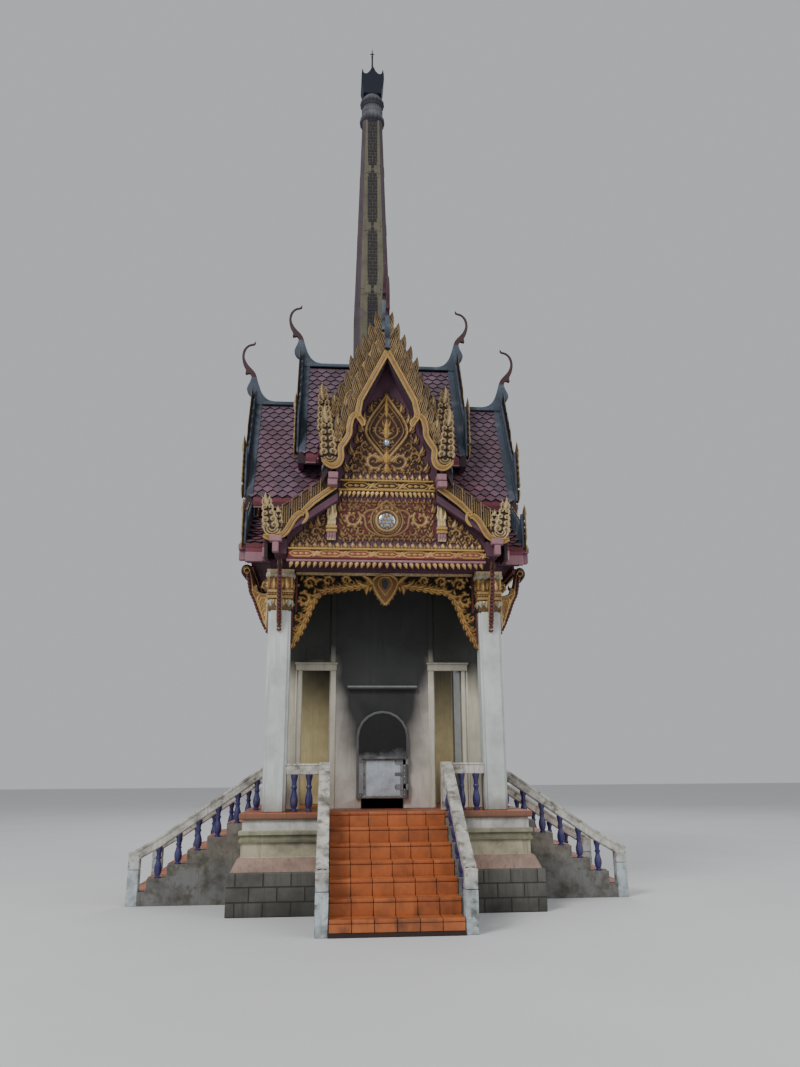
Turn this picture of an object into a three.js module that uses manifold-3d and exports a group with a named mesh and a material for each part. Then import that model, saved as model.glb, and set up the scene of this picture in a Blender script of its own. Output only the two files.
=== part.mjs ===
// A small village crematorium: a cross-gabled roof on four columns, a furnace hall on a
// raised platform with three flights of steps, and a tall tapered chimney behind it.
// Millimetres, +Z up. The origin is at ground level under the crossing of the roofs, and the
// front faces -Y.
import * as THREE from "three";
import { mergeVertices } from "three/addons/utils/BufferGeometryUtils.js";
import Module from "manifold-3d";

const wasm = await Module();
wasm.setup();

// Clearance between pieces that rest on each other
const GAP = 0.3;
// Clearance of the moving door
const RUN = 6;

// Platform and steps
const RISER = 200;
const TREAD = 300;
const RISERS = 7;
const FLOOR_Z = RISER * RISERS;
const FLOOR_THICK = 90;
const EDGE = 2200;
const FOOT = EDGE + TREAD * (RISERS - 1);
const PLATFORM_TOP = FLOOR_Z - FLOOR_THICK;
const RISER_FACE = 50;
// Half width and height of each break of the platform's mouldings, from the ground up
const PLATFORM_PROFILE = [
  [2330, 0],
  [2330, 590],
  [2290, 590],
  [2200, 780],
  [2160, 780],
  [2160, 985],
  [2195, 985],
  [2195, 1040],
  [2170, 1040],
  [2170, 1090],
  [EDGE, 1090],
  [EDGE, 1155],
  [EDGE - RISER_FACE, 1155],
  [EDGE - RISER_FACE, PLATFORM_TOP],
];

// Balustrades
const STAIR_HALF = 865;
const CHEEK = 170;
const RAIL_TALL = 165;
const RAIL_RISE = 710;
const NEWEL_LOW = 790;
const NEWEL_SIDE = 170;
const BALUSTER_SIDES = 6;
const ROD_SIDES = 8;

// Columns, capitals and beams
const COLUMN_CENTRE = 1720;
const COLUMN_HALF = 180;
const COLUMN_NOTCH = 36;
const CAPITAL_Z = 4510;
const BEAM_Z = 5180;
const UPPER_BEAM_Z = 5350;
const BEAM_HALF = 100;
const BEAM_REACH = 2300;
const CEILING_Z = 5250;

// Skirt roof under the gables
const SKIRT_IN = 850;
const SKIRT_OUT = 1970;
const SKIRT_TOP = 6402;
const SKIRT_FALL = 0.707;
const SKIRT_THICK = 122;
const SKIRT_REACH = 2300;
const FASCIA_Z = 5290;
const FASCIA_THICK = 50;

// Gables and attic
const GABLE_IN = 2100;
const GABLE_OUT = 2200;
const GABLE_Z = 5340;
const GABLE_HALF = 1620;
const ATTIC_THICK = 100;

// The two steep roof tiers: half outline of the tiled face from eave to ridge
const LOWER_ROOF = [
  [1080, 6700],
  [530, 7830],
  [0, 8950],
];
const UPPER_ROOF = [
  [1150, 7520],
  [530, 8690],
  [0, 9810],
];
const ROOF_THICK = 215;
const LOWER_REACH = 2440;
const LOWER_START = 1090;
const UPPER_REACH = 1530;
const BOARD_THICK = 80;
const VERGE_WIDE = 220;
const VERGE_TALL = 90;
const BOARD_DROP = 140;
const TEETH = 7;
const TOOTH = 170;
const CHOFA_THICK = 90;
const RIDGE_TALL = 80;

// Chimney, on a footing behind the platform
const CHIMNEY_Y = 3300;
const FOOTING_HALF = 700;
const PEDESTAL_HALF = 560;
const PEDESTAL_TOP = 2420;
const SHAFT_HALF = 425;
const SHAFT_TOP_HALF = 255;
const SHAFT_CHAMFER = 0.26;
const SHAFT_BEND = 12800;
const SHAFT_TOP = 18370;
const FLUE_HALF = 130;
const COLLAR_TOP = 19310;
const CAP_TOP = 20270;
const CAP_PEAK = 20410;
const ROD_TOP = 20950;
// Flue duct from the furnace to the chimney
const DUCT_HALF = 330;
const DUCT_TOP = 2300;
const DUCT_CAP = 60;
const WAY_LOW = 1750;
const WAY_HIGH = 2010;

// Furnace hall
const HALL_FRONT = 900;
const HALL_REAR = 1500;
const CHAMBER_END = 1250;
const SLOT_END = 1000;
const WALL_THICK = 150;
const FURNACE_HALF = 900;
const FRONT_THICK = 200;
const DOORWAY_OUT = 1360;
const WALL_END = 1680;
const DOORWAY_TOP = 3690;
const MOUTH_HALF = 360;
const MOUTH_LOW = 1600;
const MOUTH_SPRING = 2540;
const SLOT_HALF = 350;
const SLOT_TOP = 1555;
const CHAMBER_HALF = 400;
const FRAME_HALF = 435;
const FRAME_THICK = 50;
const LEAF_HALF = 395;
const LEAF_THICK = 40;
const HINGE_X = 424;
const HINGE_RADIUS = 17;
const PIN_RADIUS = 8.2;
const BORE_RADIUS = 9;
const HINGE_PLAY = 0.8;
const LUG_THICK = 24;
const HINGE_HEIGHTS = [1740, 2140];
const BARREL_TALL = 110;

// Finishes
const paint = (color, roughness = 0.85, metalness = 0) =>
  new THREE.MeshStandardMaterial({ color, roughness, metalness });
const plaster = paint(0xc9c6bd);
const dado = paint(0x8d8a78);
const tile = paint(0xb4532a, 0.6);
const weathered = paint(0x9a968c);
const gold = paint(0xa67c2e, 0.45, 0.6);
const roofTile = paint(0x5a3a42, 0.7);
const fascia = paint(0x9c4a5c, 0.8);
const soot = paint(0x2c2f30, 0.95);
const shaftPaint = paint(0x6d6a58, 0.9);
const steel = paint(0x6f7375, 0.5, 0.8);
const darkMetal = paint(0x1b1c1e, 0.6, 0.7);

const part = new THREE.Group();

// A box from its two corners
function slab(x0, x1, y0, y1, z0, z1) {
  const box = new THREE.BoxGeometry(x1 - x0, y1 - y0, z1 - z0);
  return box.translate((x0 + x1) / 2, (y0 + y1) / 2, (z0 + z1) / 2);
}

function outline(points) {
  return new THREE.Shape(points.map(([u, v]) => new THREE.Vector2(u, v)));
}

function extruded(shape, depth) {
  return new THREE.ExtrudeGeometry(shape, { depth, bevelEnabled: false });
}

// An outline of x and z, between two planes of y
function elevation(points, y0, y1) {
  return extruded(outline(points), y1 - y0)
    .rotateX(Math.PI / 2)
    .translate(0, y1, 0);
}

// An outline of outward distance and z, between two planes of x
function section(points, x0, x1) {
  const turn = new THREE.Matrix4().makeBasis(
    new THREE.Vector3(0, -1, 0),
    new THREE.Vector3(0, 0, 1),
    new THREE.Vector3(-1, 0, 0),
  );
  return extruded(outline(points), x1 - x0)
    .applyMatrix4(turn)
    .translate(x1, 0, 0);
}

// An outline of x and y, with holes, between two heights
function plan(points, z0, z1, holes = []) {
  const shape = outline(points);
  shape.holes = holes.map(outline);
  return extruded(shape, z1 - z0).translate(0, 0, z0);
}

// A square tower from half widths and heights, standing on the axis
function tower(profile) {
  const last = profile.length - 1;
  const closed = [[0, profile[0][1]], ...profile, [0, profile[last][1]]];
  return lathe(closed, 4, Math.SQRT2, Math.PI / 4);
}

function lathe(profile, sides, stretch = 1, start = 0) {
  const points = profile.map(([r, z]) => new THREE.Vector2(r * stretch, z));
  return new THREE.LatheGeometry(points, sides, start).rotateX(Math.PI / 2);
}

function square(half) {
  return [
    [-half, -half],
    [half, -half],
    [half, half],
    [-half, half],
  ];
}

function mirrored(points) {
  return [...points, ...points.map(([x, z]) => [-x, z]).reverse()].filter(
    ([x], i, all) => i === 0 || x !== 0 || all[i - 1][0] !== 0,
  );
}

// Solids for joining and cutting
function solid(geometry) {
  const bare = geometry.index ? geometry.toNonIndexed() : geometry.clone();
  bare.deleteAttribute("normal");
  bare.deleteAttribute("uv");
  const merged = mergeVertices(bare, 1e-3);
  return new wasm.Manifold(
    new wasm.Mesh({
      numProp: 3,
      vertProperties: merged.attributes.position.array,
      triVerts: new Uint32Array(merged.index.array),
    }),
  );
}

function geometryOf(made) {
  const mesh = made.getMesh();
  const geometry = new THREE.BufferGeometry();
  geometry.setAttribute("position", new THREE.BufferAttribute(mesh.vertProperties, 3));
  geometry.setIndex(new THREE.BufferAttribute(mesh.triVerts, 1));
  geometry.computeVertexNormals();
  return geometry;
}

function joined(pieces, cuts = []) {
  let made = solid(pieces[0]);
  for (const piece of pieces.slice(1)) made = made.add(solid(piece));
  for (const cut of cuts) made = made.subtract(solid(cut));
  return geometryOf(made);
}

// Copies of a neighbour moved by the clearance, to cut a piece that meets it at the front
function cleared(geometry) {
  return [-GAP, 0, GAP].map((rise) => geometry.clone().translate(0, -GAP, rise));
}

function add(name, geometry, material, turn = 0) {
  const mesh = new THREE.Mesh(geometry, material);
  mesh.name = name;
  mesh.rotation.z = turn;
  part.add(mesh);
  return mesh;
}

const QUARTER = Math.PI / 2;
const SIDES = { front: 0, right: QUARTER, rear: 2 * QUARTER, left: -QUARTER };
const CORNERS = {
  front_left: 0,
  front_right: QUARTER,
  rear_right: 2 * QUARTER,
  rear_left: -QUARTER,
};

// Platform: dark block plinth, dado and mouldings, under a tiled floor. The same bands run
// round the footing of the chimney behind it, which is narrower than the platform.
function banded(profile) {
  const narrow = profile.map(([half, z]) => [half - EDGE + FOOTING_HALF, z]);
  const link = (CHIMNEY_Y + EDGE) / 2 - FOOTING_HALF / 2;
  const footing = [CHIMNEY_Y, link].map((y) => tower(narrow).translate(0, y, 0));
  return joined([tower(profile), ...footing]);
}
const platformShape = banded([
  ...PLATFORM_PROFILE.slice(0, -1),
  [EDGE - RISER_FACE, PLATFORM_TOP - GAP],
]);
const floorShape = banded([
  [EDGE - 15, PLATFORM_TOP],
  [EDGE, PLATFORM_TOP + 20],
  [EDGE, FLOOR_Z],
]);
add("platform", platformShape, dado);
add("floor", floorShape, tile);

// Steps: the last riser is a tiled face under the floor's nosing
function stepLine(strip) {
  const points = strip
    ? [
        [FOOT + 25, 0],
        [FOOT + 25, 50],
        [FOOT, 50],
      ]
    : [[FOOT, 0]];
  for (let i = 1; i < RISERS; i++) {
    points.push([FOOT - TREAD * (i - 1), RISER * i]);
    points.push([FOOT - TREAD * i, RISER * i]);
  }
  points.push([EDGE, PLATFORM_TOP - GAP]);
  points.push([EDGE - 2 * RISER_FACE, PLATFORM_TOP - GAP]);
  points.push([EDGE - 2 * RISER_FACE, 0]);
  return points;
}

const platformCuts = cleared(platformShape);
const flight = joined([section(stepLine(true), -STAIR_HALF, STAIR_HALF)], platformCuts);
for (const side of ["front", "right", "left"]) {
  add(side + "_steps", flight, tile, SIDES[side]);
}

// A turned baluster standing at x, y between two heights
function baluster(x, y, z0, z1) {
  const tall = z1 - z0;
  const profile = [
    [0, z0],
    [54, z0],
    [34, z0 + 0.18 * tall],
    [60, z0 + 0.38 * tall],
    [34, z0 + 0.72 * tall],
    [54, z1],
    [0, z1],
  ];
  return lathe(profile, BALUSTER_SIDES).translate(x, y, 0);
}

// Balustrade of one edge of a flight and of the platform beside it, on the +X side
const NEWEL_OUT = COLUMN_CENTRE + COLUMN_HALF;
const EDGE_RAIL = NEWEL_OUT - NEWEL_SIDE / 2;
const EDGE_RAIL_HALF = 70;
const RAIL_TOP = FLOOR_Z + RAIL_RISE;
const RAIL_LINE = [
  [NEWEL_OUT - NEWEL_SIDE, RAIL_TOP],
  [NEWEL_OUT, RAIL_TOP],
  [3480, 1050],
  [FOOT - NEWEL_SIDE, NEWEL_LOW + 60],
  [FOOT - NEWEL_SIDE / 2, NEWEL_LOW + 15],
];

function railHeight(d) {
  const i = RAIL_LINE.findIndex(([end]) => end >= d);
  const [[d0, z0], [d1, z1]] = [RAIL_LINE[i - 1], RAIL_LINE[i]];
  return z0 + ((z1 - z0) * (d - d0)) / (d1 - d0);
}

function edgeRail(x0, x1) {
  const y = -EDGE_RAIL;
  return slab(x0, x1, y - EDGE_RAIL_HALF, y + EDGE_RAIL_HALF, RAIL_TOP - RAIL_TALL, RAIL_TOP);
}

function stairBalustrade() {
  const x0 = STAIR_HALF + GAP;
  const x1 = STAIR_HALF + CHEEK;
  const middle = (x0 + x1) / 2;
  const rail = [
    ...RAIL_LINE,
    ...[...RAIL_LINE].reverse().map(([d, z]) => [d, z - RAIL_TALL]),
  ];
  const edge = COLUMN_CENTRE - COLUMN_HALF - GAP;
  const pieces = [
    section(stepLine(false), x0, x1),
    section(rail, x0 + 15, x1 - 15),
    slab(x0, x1, -NEWEL_OUT, NEWEL_SIDE - NEWEL_OUT, FLOOR_Z + GAP, RAIL_TOP + 12),
    slab(x0, x1, -FOOT, NEWEL_SIDE - FOOT, 0, NEWEL_LOW),
    edgeRail(middle, edge),
  ];
  for (let i = 2; i < RISERS; i++) {
    const d = FOOT - TREAD * (i - 0.5);
    pieces.push(baluster(middle, -d, RISER * i - 1, railHeight(d) - RAIL_TALL + 10));
  }
  const landing = (NEWEL_OUT + EDGE) / 2;
  const under = RAIL_TOP - RAIL_TALL + 10;
  pieces.push(baluster(middle, -landing, FLOOR_Z + GAP, railHeight(landing) - RAIL_TALL + 10));
  for (const share of [0.3, 0.75]) {
    const x = x1 + share * (edge - x1);
    pieces.push(baluster(x, -EDGE_RAIL, FLOOR_Z + GAP, under));
  }
  return joined(pieces, [...platformCuts, ...cleared(floorShape)]);
}

const rightBalustrade = stairBalustrade();
const leftBalustrade = geometryOf(solid(rightBalustrade).mirror([1, 0, 0]));
const EDGES = {
  front_left: [leftBalustrade, SIDES.front],
  front_right: [rightBalustrade, SIDES.front],
  left_front: [rightBalustrade, SIDES.left],
  left_rear: [leftBalustrade, SIDES.left],
  right_front: [leftBalustrade, SIDES.right],
  right_rear: [rightBalustrade, SIDES.right],
};
for (const [name, [geometry, turn]] of Object.entries(EDGES)) {
  add(name + "_balustrade", geometry, weathered, turn);
}

// Columns with stepped corners, at the front left place and turned round the axis
function columnOutline() {
  const a = COLUMN_HALF;
  const b = COLUMN_HALF - COLUMN_NOTCH;
  const quarter = [
    [a, b],
    [b, b],
    [b, a],
  ];
  const points = [];
  for (let k = 0; k < 4; k++) {
    const [c, s] = [
      [1, 0],
      [0, 1],
      [-1, 0],
      [0, -1],
    ][k];
    for (const [x, y] of quarter) points.push([c * x - s * y, s * x + c * y]);
  }
  return points.map(([x, y]) => [x - COLUMN_CENTRE, y - COLUMN_CENTRE]);
}
const columnShape = plan(columnOutline(), FLOOR_Z + GAP, CAPITAL_Z - GAP);

// Lotus capital with the two eave brackets that rear up from the column
const CAPITAL_HALF = 240;
const CAPITAL_PROFILE = [
  [185, CAPITAL_Z],
  [222, CAPITAL_Z + 40],
  [222, CAPITAL_Z + 90],
  [192, CAPITAL_Z + 130],
  [186, CAPITAL_Z + 330],
  [206, CAPITAL_Z + 370],
  [206, CAPITAL_Z + 410],
  [192, CAPITAL_Z + 440],
  [CAPITAL_HALF, CAPITAL_Z + 600],
  [CAPITAL_HALF, BEAM_Z - GAP],
];
const BRACKET_THICK = 80;
const BRACKET_LINE = [
  [1902, 4230],
  [1985, 4330],
  [2070, 4560],
  [2170, 4800],
  [2240, 4980],
  [2275, 5130],
  [2320, 5210],
  [2330, 5290],
  [2285, 5345],
  [2215, 5340],
  [2185, 5250],
  [2190, 5130],
  [2150, 5000],
  [2080, 4880],
  [1990, 4830],
  [1902, 4850],
];

function capital() {
  const at = -COLUMN_CENTRE;
  const half = BRACKET_THICK / 2;
  const bracket = section(BRACKET_LINE, at - half, at + half);
  const neck = slab(at - half, at + half, -1910, at, CAPITAL_Z + 10, 4840);
  const frontBracket = joined([bracket, neck]);
  const sideBracket = geometryOf(
    solid(frontBracket).mirror([1, 0, 0]).rotate([0, 0, -90]),
  );
  return joined([tower(CAPITAL_PROFILE).translate(at, at, 0), frontBracket, sideBracket]);
}
const capitalShape = capital();
for (const [name, turn] of Object.entries(CORNERS)) {
  add(name + "_column", columnShape, plaster, turn);
  add(name + "_capital", capitalShape, gold, turn);
}

// Skirt roof heights
const skirtTop = (l) => SKIRT_TOP - SKIRT_FALL * (l - SKIRT_IN);
const skirtUnder = (l) => skirtTop(l) - SKIRT_THICK;
const BEAM_TOP = skirtUnder(COLUMN_CENTRE + BEAM_HALF) - GAP;

// Ring of lintels with crossing eave beams over it
function ringBeam() {
  const ring = plan(
    square(COLUMN_CENTRE + COLUMN_HALF),
    BEAM_Z,
    UPPER_BEAM_Z + 1,
    [square(COLUMN_CENTRE - COLUMN_HALF)],
  );
  const pieces = [ring];
  for (const s of [-1, 1]) {
    const a = s * COLUMN_CENTRE - BEAM_HALF;
    const b = s * COLUMN_CENTRE + BEAM_HALF;
    pieces.push(slab(a, b, -BEAM_REACH, BEAM_REACH, UPPER_BEAM_Z, BEAM_TOP));
    pieces.push(slab(-BEAM_REACH, BEAM_REACH, a, b, UPPER_BEAM_Z, BEAM_TOP));
  }
  return joined(pieces);
}
add("ring_beam", ringBeam(), plaster);
const ceilingHalf = COLUMN_CENTRE - COLUMN_HALF - GAP;
add(
  "ceiling",
  plan(square(ceilingHalf), CEILING_Z, UPPER_BEAM_Z),
  soot,
);

// Carved valance that hangs between two columns
const VALANCE_LINE = [
  [0, 4650],
  [90, 4790],
  [150, 4900],
  [230, 4930],
  [400, 4880],
  [650, 4870],
  [900, 4850],
  [1080, 4740],
  [1240, 4520],
  [1330, 4380],
  [1400, 4200],
  [1430, 3990],
  [ceilingHalf, 3990],
  [ceilingHalf, CAPITAL_Z - GAP],
  [COLUMN_CENTRE - CAPITAL_HALF - GAP, CAPITAL_Z - GAP],
  [COLUMN_CENTRE - CAPITAL_HALF - GAP, BEAM_Z - GAP],
];
const valance = elevation(
  mirrored(VALANCE_LINE),
  -COLUMN_CENTRE - 35,
  35 - COLUMN_CENTRE,
);

// Height of a roof outline at a distance from its ridge plane
function roofHeight(line, x) {
  const i = line.findIndex(([end]) => end <= x);
  const [[x1, z1], [x0, z0]] = [line[Math.max(i, 1) - 1], line[Math.max(i, 1)]];
  return z0 + ((z1 - z0) * (x - x0)) / (x1 - x0);
}

// A roof outline moved up by a rise, from one eave over the ridge to the other
function overRoof(line, rise) {
  return mirrored(line.map(([x, z]) => [x, z + rise]));
}

function roofBand(line, low, high) {
  return [...overRoof(line, high), ...overRoof(line, low).reverse()];
}

// Gable wall: frieze, lower panel and steep pediment, with the boards of the skirt's verges
function gable() {
  const seat = 1;
  const wall = [
    [GABLE_HALF, GABLE_Z],
    [GABLE_HALF, skirtUnder(GABLE_HALF) - seat],
    [SKIRT_IN, skirtUnder(SKIRT_IN) - seat],
    [SKIRT_IN, roofHeight(LOWER_ROOF, SKIRT_IN) - ROOF_THICK - seat],
    [530, 7830 - ROOF_THICK - seat],
    [0, 8950 - ROOF_THICK - seat],
  ];
  const inner = COLUMN_CENTRE + COLUMN_HALF + GAP;
  const pieces = [
    elevation(mirrored(wall), -GABLE_OUT, -GABLE_IN),
    slab(-GABLE_HALF + 5, GABLE_HALF - 5, -GABLE_IN - 5, -inner, GABLE_Z, UPPER_BEAM_Z + 30),
  ];
  const boardIn = SKIRT_REACH + GAP;
  const boardOut = boardIn + BOARD_THICK;
  for (const s of [-1, 1]) {
    const strip = (l0, l1, low, high) => [
      [s * l0, skirtTop(l0) + low],
      [s * l1, skirtTop(l1) + low],
      [s * l1, skirtTop(l1) + high],
      [s * l0, skirtTop(l0) + high],
    ];
    const under = -SKIRT_THICK - seat;
    const end = COLUMN_CENTRE - BEAM_HALF - GAP;
    pieces.push(elevation(strip(SKIRT_IN - 40, end, under - 60, under), -boardOut, -GABLE_OUT + 5));
    pieces.push(elevation(lowerBoard(s), -boardOut, -boardIn));
  }
  return joined(pieces);
}

// The raking board over the end of the skirt roof, with upright teeth and a turned-up end
function lowerBoard(s) {
  const count = 5;
  const start = SKIRT_IN - 30;
  const end = SKIRT_OUT - 60;
  const pitch = (end - start) / count;
  const points = [[start, skirtTop(start) - SKIRT_THICK - 40]];
  points.push([start, skirtTop(start) + 50]);
  for (let i = 0; i < count; i++) {
    const l = start + pitch * i;
    const tall = i < count - 1 ? 230 : 330;
    points.push([l + 0.15 * pitch, skirtTop(l) + 40]);
    points.push([l + 0.2 * pitch, skirtTop(l) + 0.7 * tall]);
    points.push([l + 0.5 * pitch, skirtTop(l + 0.5 * pitch) + tall]);
    points.push([l + 0.85 * pitch, skirtTop(l + 0.85 * pitch) + 60]);
  }
  points.push([end + 40, skirtTop(end) + 60]);
  points.push([end + 90, skirtTop(end) + 40]);
  points.push([end + 60, skirtTop(end) - 90]);
  points.push([end - 20, skirtTop(end) - SKIRT_THICK - 10]);
  return points.map(([l, z]) => [s * l, z]);
}

// One corner of the skirt roof: two slopes that meet in a valley, each with its fascia
function skirtCorner() {
  const slope = (from, to, drop, low, reach) =>
    elevation(
      [
        [-from, low],
        [-to, low],
        [-to, skirtTop(to) - drop],
        [-from, skirtTop(from) - drop],
      ],
      -reach,
      -from,
    );
  const both = (geometry) => [
    geometry,
    geometryOf(solid(geometry).mirror([1, 0, 0]).rotate([0, 0, -90])),
  ];
  const inner = SKIRT_IN + GAP;
  const faces = both(slope(inner, SKIRT_OUT, 0, FASCIA_Z, SKIRT_REACH));
  const voids = both(
    slope(inner - 50, SKIRT_OUT - FASCIA_THICK, SKIRT_THICK, FASCIA_Z - 50, SKIRT_REACH + 50),
  );
  return joined(faces, voids);
}
const skirtShape = skirtCorner();

// Attic: a cross of walls that carries the steep roofs
function cross(half, reach) {
  const points = [];
  for (let k = 0; k < 4; k++) {
    const c = Math.round(Math.cos(k * QUARTER));
    const s = Math.round(Math.sin(k * QUARTER));
    for (const [x, y] of [
      [reach, -half],
      [reach, half],
      [half, half],
    ]) {
      points.push([c * x - s * y, s * x + c * y]);
    }
  }
  return points;
}
const atticTop = roofHeight(LOWER_ROOF, SKIRT_IN) - ROOF_THICK - 1;
const atticEnd = GABLE_IN - GAP;
add(
  "attic_walls",
  plan(cross(SKIRT_IN, atticEnd), BEAM_TOP + GAP, atticTop, [
    cross(SKIRT_IN - ATTIC_THICK, atticEnd - ATTIC_THICK),
  ]),
  soot,
);

// Steep roofs: the lower tier is one folded slab for each arm
const lowerRoof = elevation(
  roofBand(LOWER_ROOF, -ROOF_THICK, 0),
  -LOWER_REACH,
  -LOWER_START,
);

// The upper tier is a cross-gabled shell that sits astride the lower ridges
function upperRoof() {
  const filled = (line, low, rise) => [
    ...overRoof(line, rise),
    [-line[0][0], low],
    [line[0][0], low],
  ];
  const eaveLow = UPPER_ROOF[0][1] - 190;
  const hollow = UPPER_ROOF.map(([x, z]) => [Math.min(x, 1090), z]);
  const outside = elevation(filled(UPPER_ROOF, eaveLow, 0), -UPPER_REACH, UPPER_REACH);
  const reach = UPPER_REACH - ATTIC_THICK;
  const inside = elevation(filled(hollow, eaveLow - 100, -ROOF_THICK), -reach, reach);
  const astride = elevation(filled(LOWER_ROOF, 6000, GAP), -LOWER_REACH, LOWER_REACH);
  const turned = (geometry) => geometry.clone().rotateZ(QUARTER);
  const shell = joined(
    [outside, turned(outside)],
    [inside, turned(inside), astride, turned(astride)],
  );
  const ridge = UPPER_ROOF[2][1];
  const half = CHOFA_THICK / 2;
  return joined([shell, slab(-half, half, -half, half, ridge - 100, ridge + RIDGE_TALL)]);
}
add("upper_roof", upperRoof(), roofTile);

// Finial of a ridge: outward distance from the verge and height over the ridge
const CHOFA_OUT = [
  [0, 0],
  [0, 180],
  [60, 235],
  [100, 320],
  [90, 400],
  [40, 520],
  [25, 610],
  [60, 680],
  [145, 665],
  [140, 760],
  [195, 880],
  [228, 1050],
  [200, 1215],
  [110, 1320],
  [10, 1352],
];
const CHOFA_IN = [
  [-30, 1410],
  [-22, 1325],
  [80, 1290],
  [142, 1230],
  [178, 1120],
  [170, 1010],
  [100, 870],
  [-50, 690],
  [-120, 460],
  [-200, 250],
  [-320, 120],
  [-480, RIDGE_TALL],
];

// Verge, bargeboards, ridge and finial of one end of a steep roof
function bargeboards(line, reach, ridgeStart) {
  const ridge = line[2][1];
  const outer = reach + GAP + BOARD_THICK;
  const verge = roofBand(line, GAP, VERGE_TALL);
  const ridgePlate = [
    [ridgeStart, ridge + GAP],
    ...CHOFA_OUT.map(([u, v]) => [outer + u, ridge + Math.max(v, GAP)]),
    ...CHOFA_IN.map(([u, v]) => [outer + u, ridge + v]),
    [ridgeStart, ridge + RIDGE_TALL],
  ];
  const half = CHOFA_THICK / 2;
  const board = toothedBoard(line);
  return joined([
    elevation(verge, -outer, VERGE_WIDE - outer),
    elevation(board, -outer, -reach - GAP),
    section(ridgePlate, -half, half),
  ]);
}

// Outline of the two boards: flame teeth over the verge and a turned-up lower end
function toothedBoard(line) {
  const [eaveX, eaveZ] = line[0];
  const ridge = line[2][1];
  const upper = [[0, ridge + VERGE_TALL]];
  for (let i = 0; i < TEETH; i++) {
    const x = (eaveX * (i + 0.6)) / TEETH;
    const z = roofHeight(line, x) + VERGE_TALL;
    upper.push([x, z - 10]);
    upper.push([x + 0.35 * TOOTH, z + TOOTH * 0.9]);
    upper.push([x + 0.55 * TOOTH, z - 0.4 * TOOTH]);
  }
  const end = [
    [eaveX + 40, eaveZ + 330],
    [eaveX + 95, eaveZ + 120],
    [eaveX + 60, eaveZ - 60],
    [eaveX - 60, eaveZ - BOARD_DROP],
    [eaveX - 140, eaveZ - 60],
  ];
  const lower = [
    [line[1][0] + 70, line[1][1] - 260],
    [line[1][0] - 20, line[1][1] - 190],
    [line[1][0] - 40, line[1][1] - 60],
    [0, ridge - BOARD_DROP],
  ];
  return mirrored([...upper, ...end, ...lower]);
}

const lowerBoards = bargeboards(LOWER_ROOF, LOWER_REACH, UPPER_REACH + 120);
const upperBoards = bargeboards(UPPER_ROOF, UPPER_REACH, CHOFA_THICK / 2 + GAP);
const gableShape = gable();
for (const [side, turn] of Object.entries(SIDES)) {
  add(side + "_valance", valance, gold, turn);
  add(side + "_gable", gableShape, gold, turn);
  add(side + "_roof", lowerRoof, roofTile, turn);
  add(side + "_bargeboards", lowerBoards, gold, turn);
  add(side + "_upper_bargeboards", upperBoards, gold, turn);
}
for (const [name, turn] of Object.entries(CORNERS)) {
  add(name + "_skirt_roof", skirtShape, fascia, turn);
}

// Chimney: a tapered square shaft with chamfered edges and a clear flue, on a pedestal
function chamfered(half, cut) {
  const points = [];
  for (let k = 0; k < 4; k++) {
    const c = Math.round(Math.cos(k * QUARTER));
    const s = Math.round(Math.sin(k * QUARTER));
    for (const [x, y] of [
      [half, -cut],
      [half, cut],
    ]) {
      points.push([c * x - s * y, s * x + c * y]);
    }
  }
  return points;
}

const behind = (geometry) => geometry.translate(0, CHIMNEY_Y, 0);

function chimneyShaft() {
  const cut = SHAFT_HALF * (1 - SHAFT_CHAMFER);
  const low = plan(chamfered(SHAFT_HALF, cut), PEDESTAL_TOP - 10, SHAFT_BEND);
  const high = plan(chamfered(SHAFT_HALF, cut), SHAFT_BEND, SHAFT_TOP);
  const at = high.attributes.position;
  const scale = SHAFT_TOP_HALF / SHAFT_HALF;
  for (let i = 0; i < at.count; i++) {
    if (at.getZ(i) > SHAFT_BEND) at.setXY(i, at.getX(i) * scale, at.getY(i) * scale);
  }
  const pedestal = tower([
    [PEDESTAL_HALF, FLOOR_Z + GAP],
    [PEDESTAL_HALF, PEDESTAL_TOP - 110],
    [PEDESTAL_HALF - 70, PEDESTAL_TOP - 40],
    [SHAFT_HALF + 30, PEDESTAL_TOP],
  ]);
  const flue = plan(square(FLUE_HALF), WAY_LOW, SHAFT_TOP + 10);
  const way = slab(-FLUE_HALF, FLUE_HALF, -PEDESTAL_HALF - 10, 0, WAY_LOW, WAY_HIGH);
  return joined([pedestal, low, high], [flue, way]);
}
add("chimney_shaft", behind(chimneyShaft()), shaftPaint);

// A hollow square ring from half widths and heights, open over the flue
function openTower(profile, hole) {
  const low = profile[0][1];
  const high = profile[profile.length - 1][1];
  return joined([tower(profile)], [plan(square(hole), low - 10, high + 10)]);
}
const collar = openTower(
  [
    [262, SHAFT_TOP + GAP],
    [320, SHAFT_TOP + 150],
    [320, SHAFT_TOP + 260],
    [265, SHAFT_TOP + 420],
    [265, SHAFT_TOP + 560],
    [305, SHAFT_TOP + 640],
    [312, SHAFT_TOP + 740],
    [225, COLLAR_TOP - GAP],
  ],
  FLUE_HALF,
);
add("chimney_collar", behind(collar), weathered);

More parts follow.
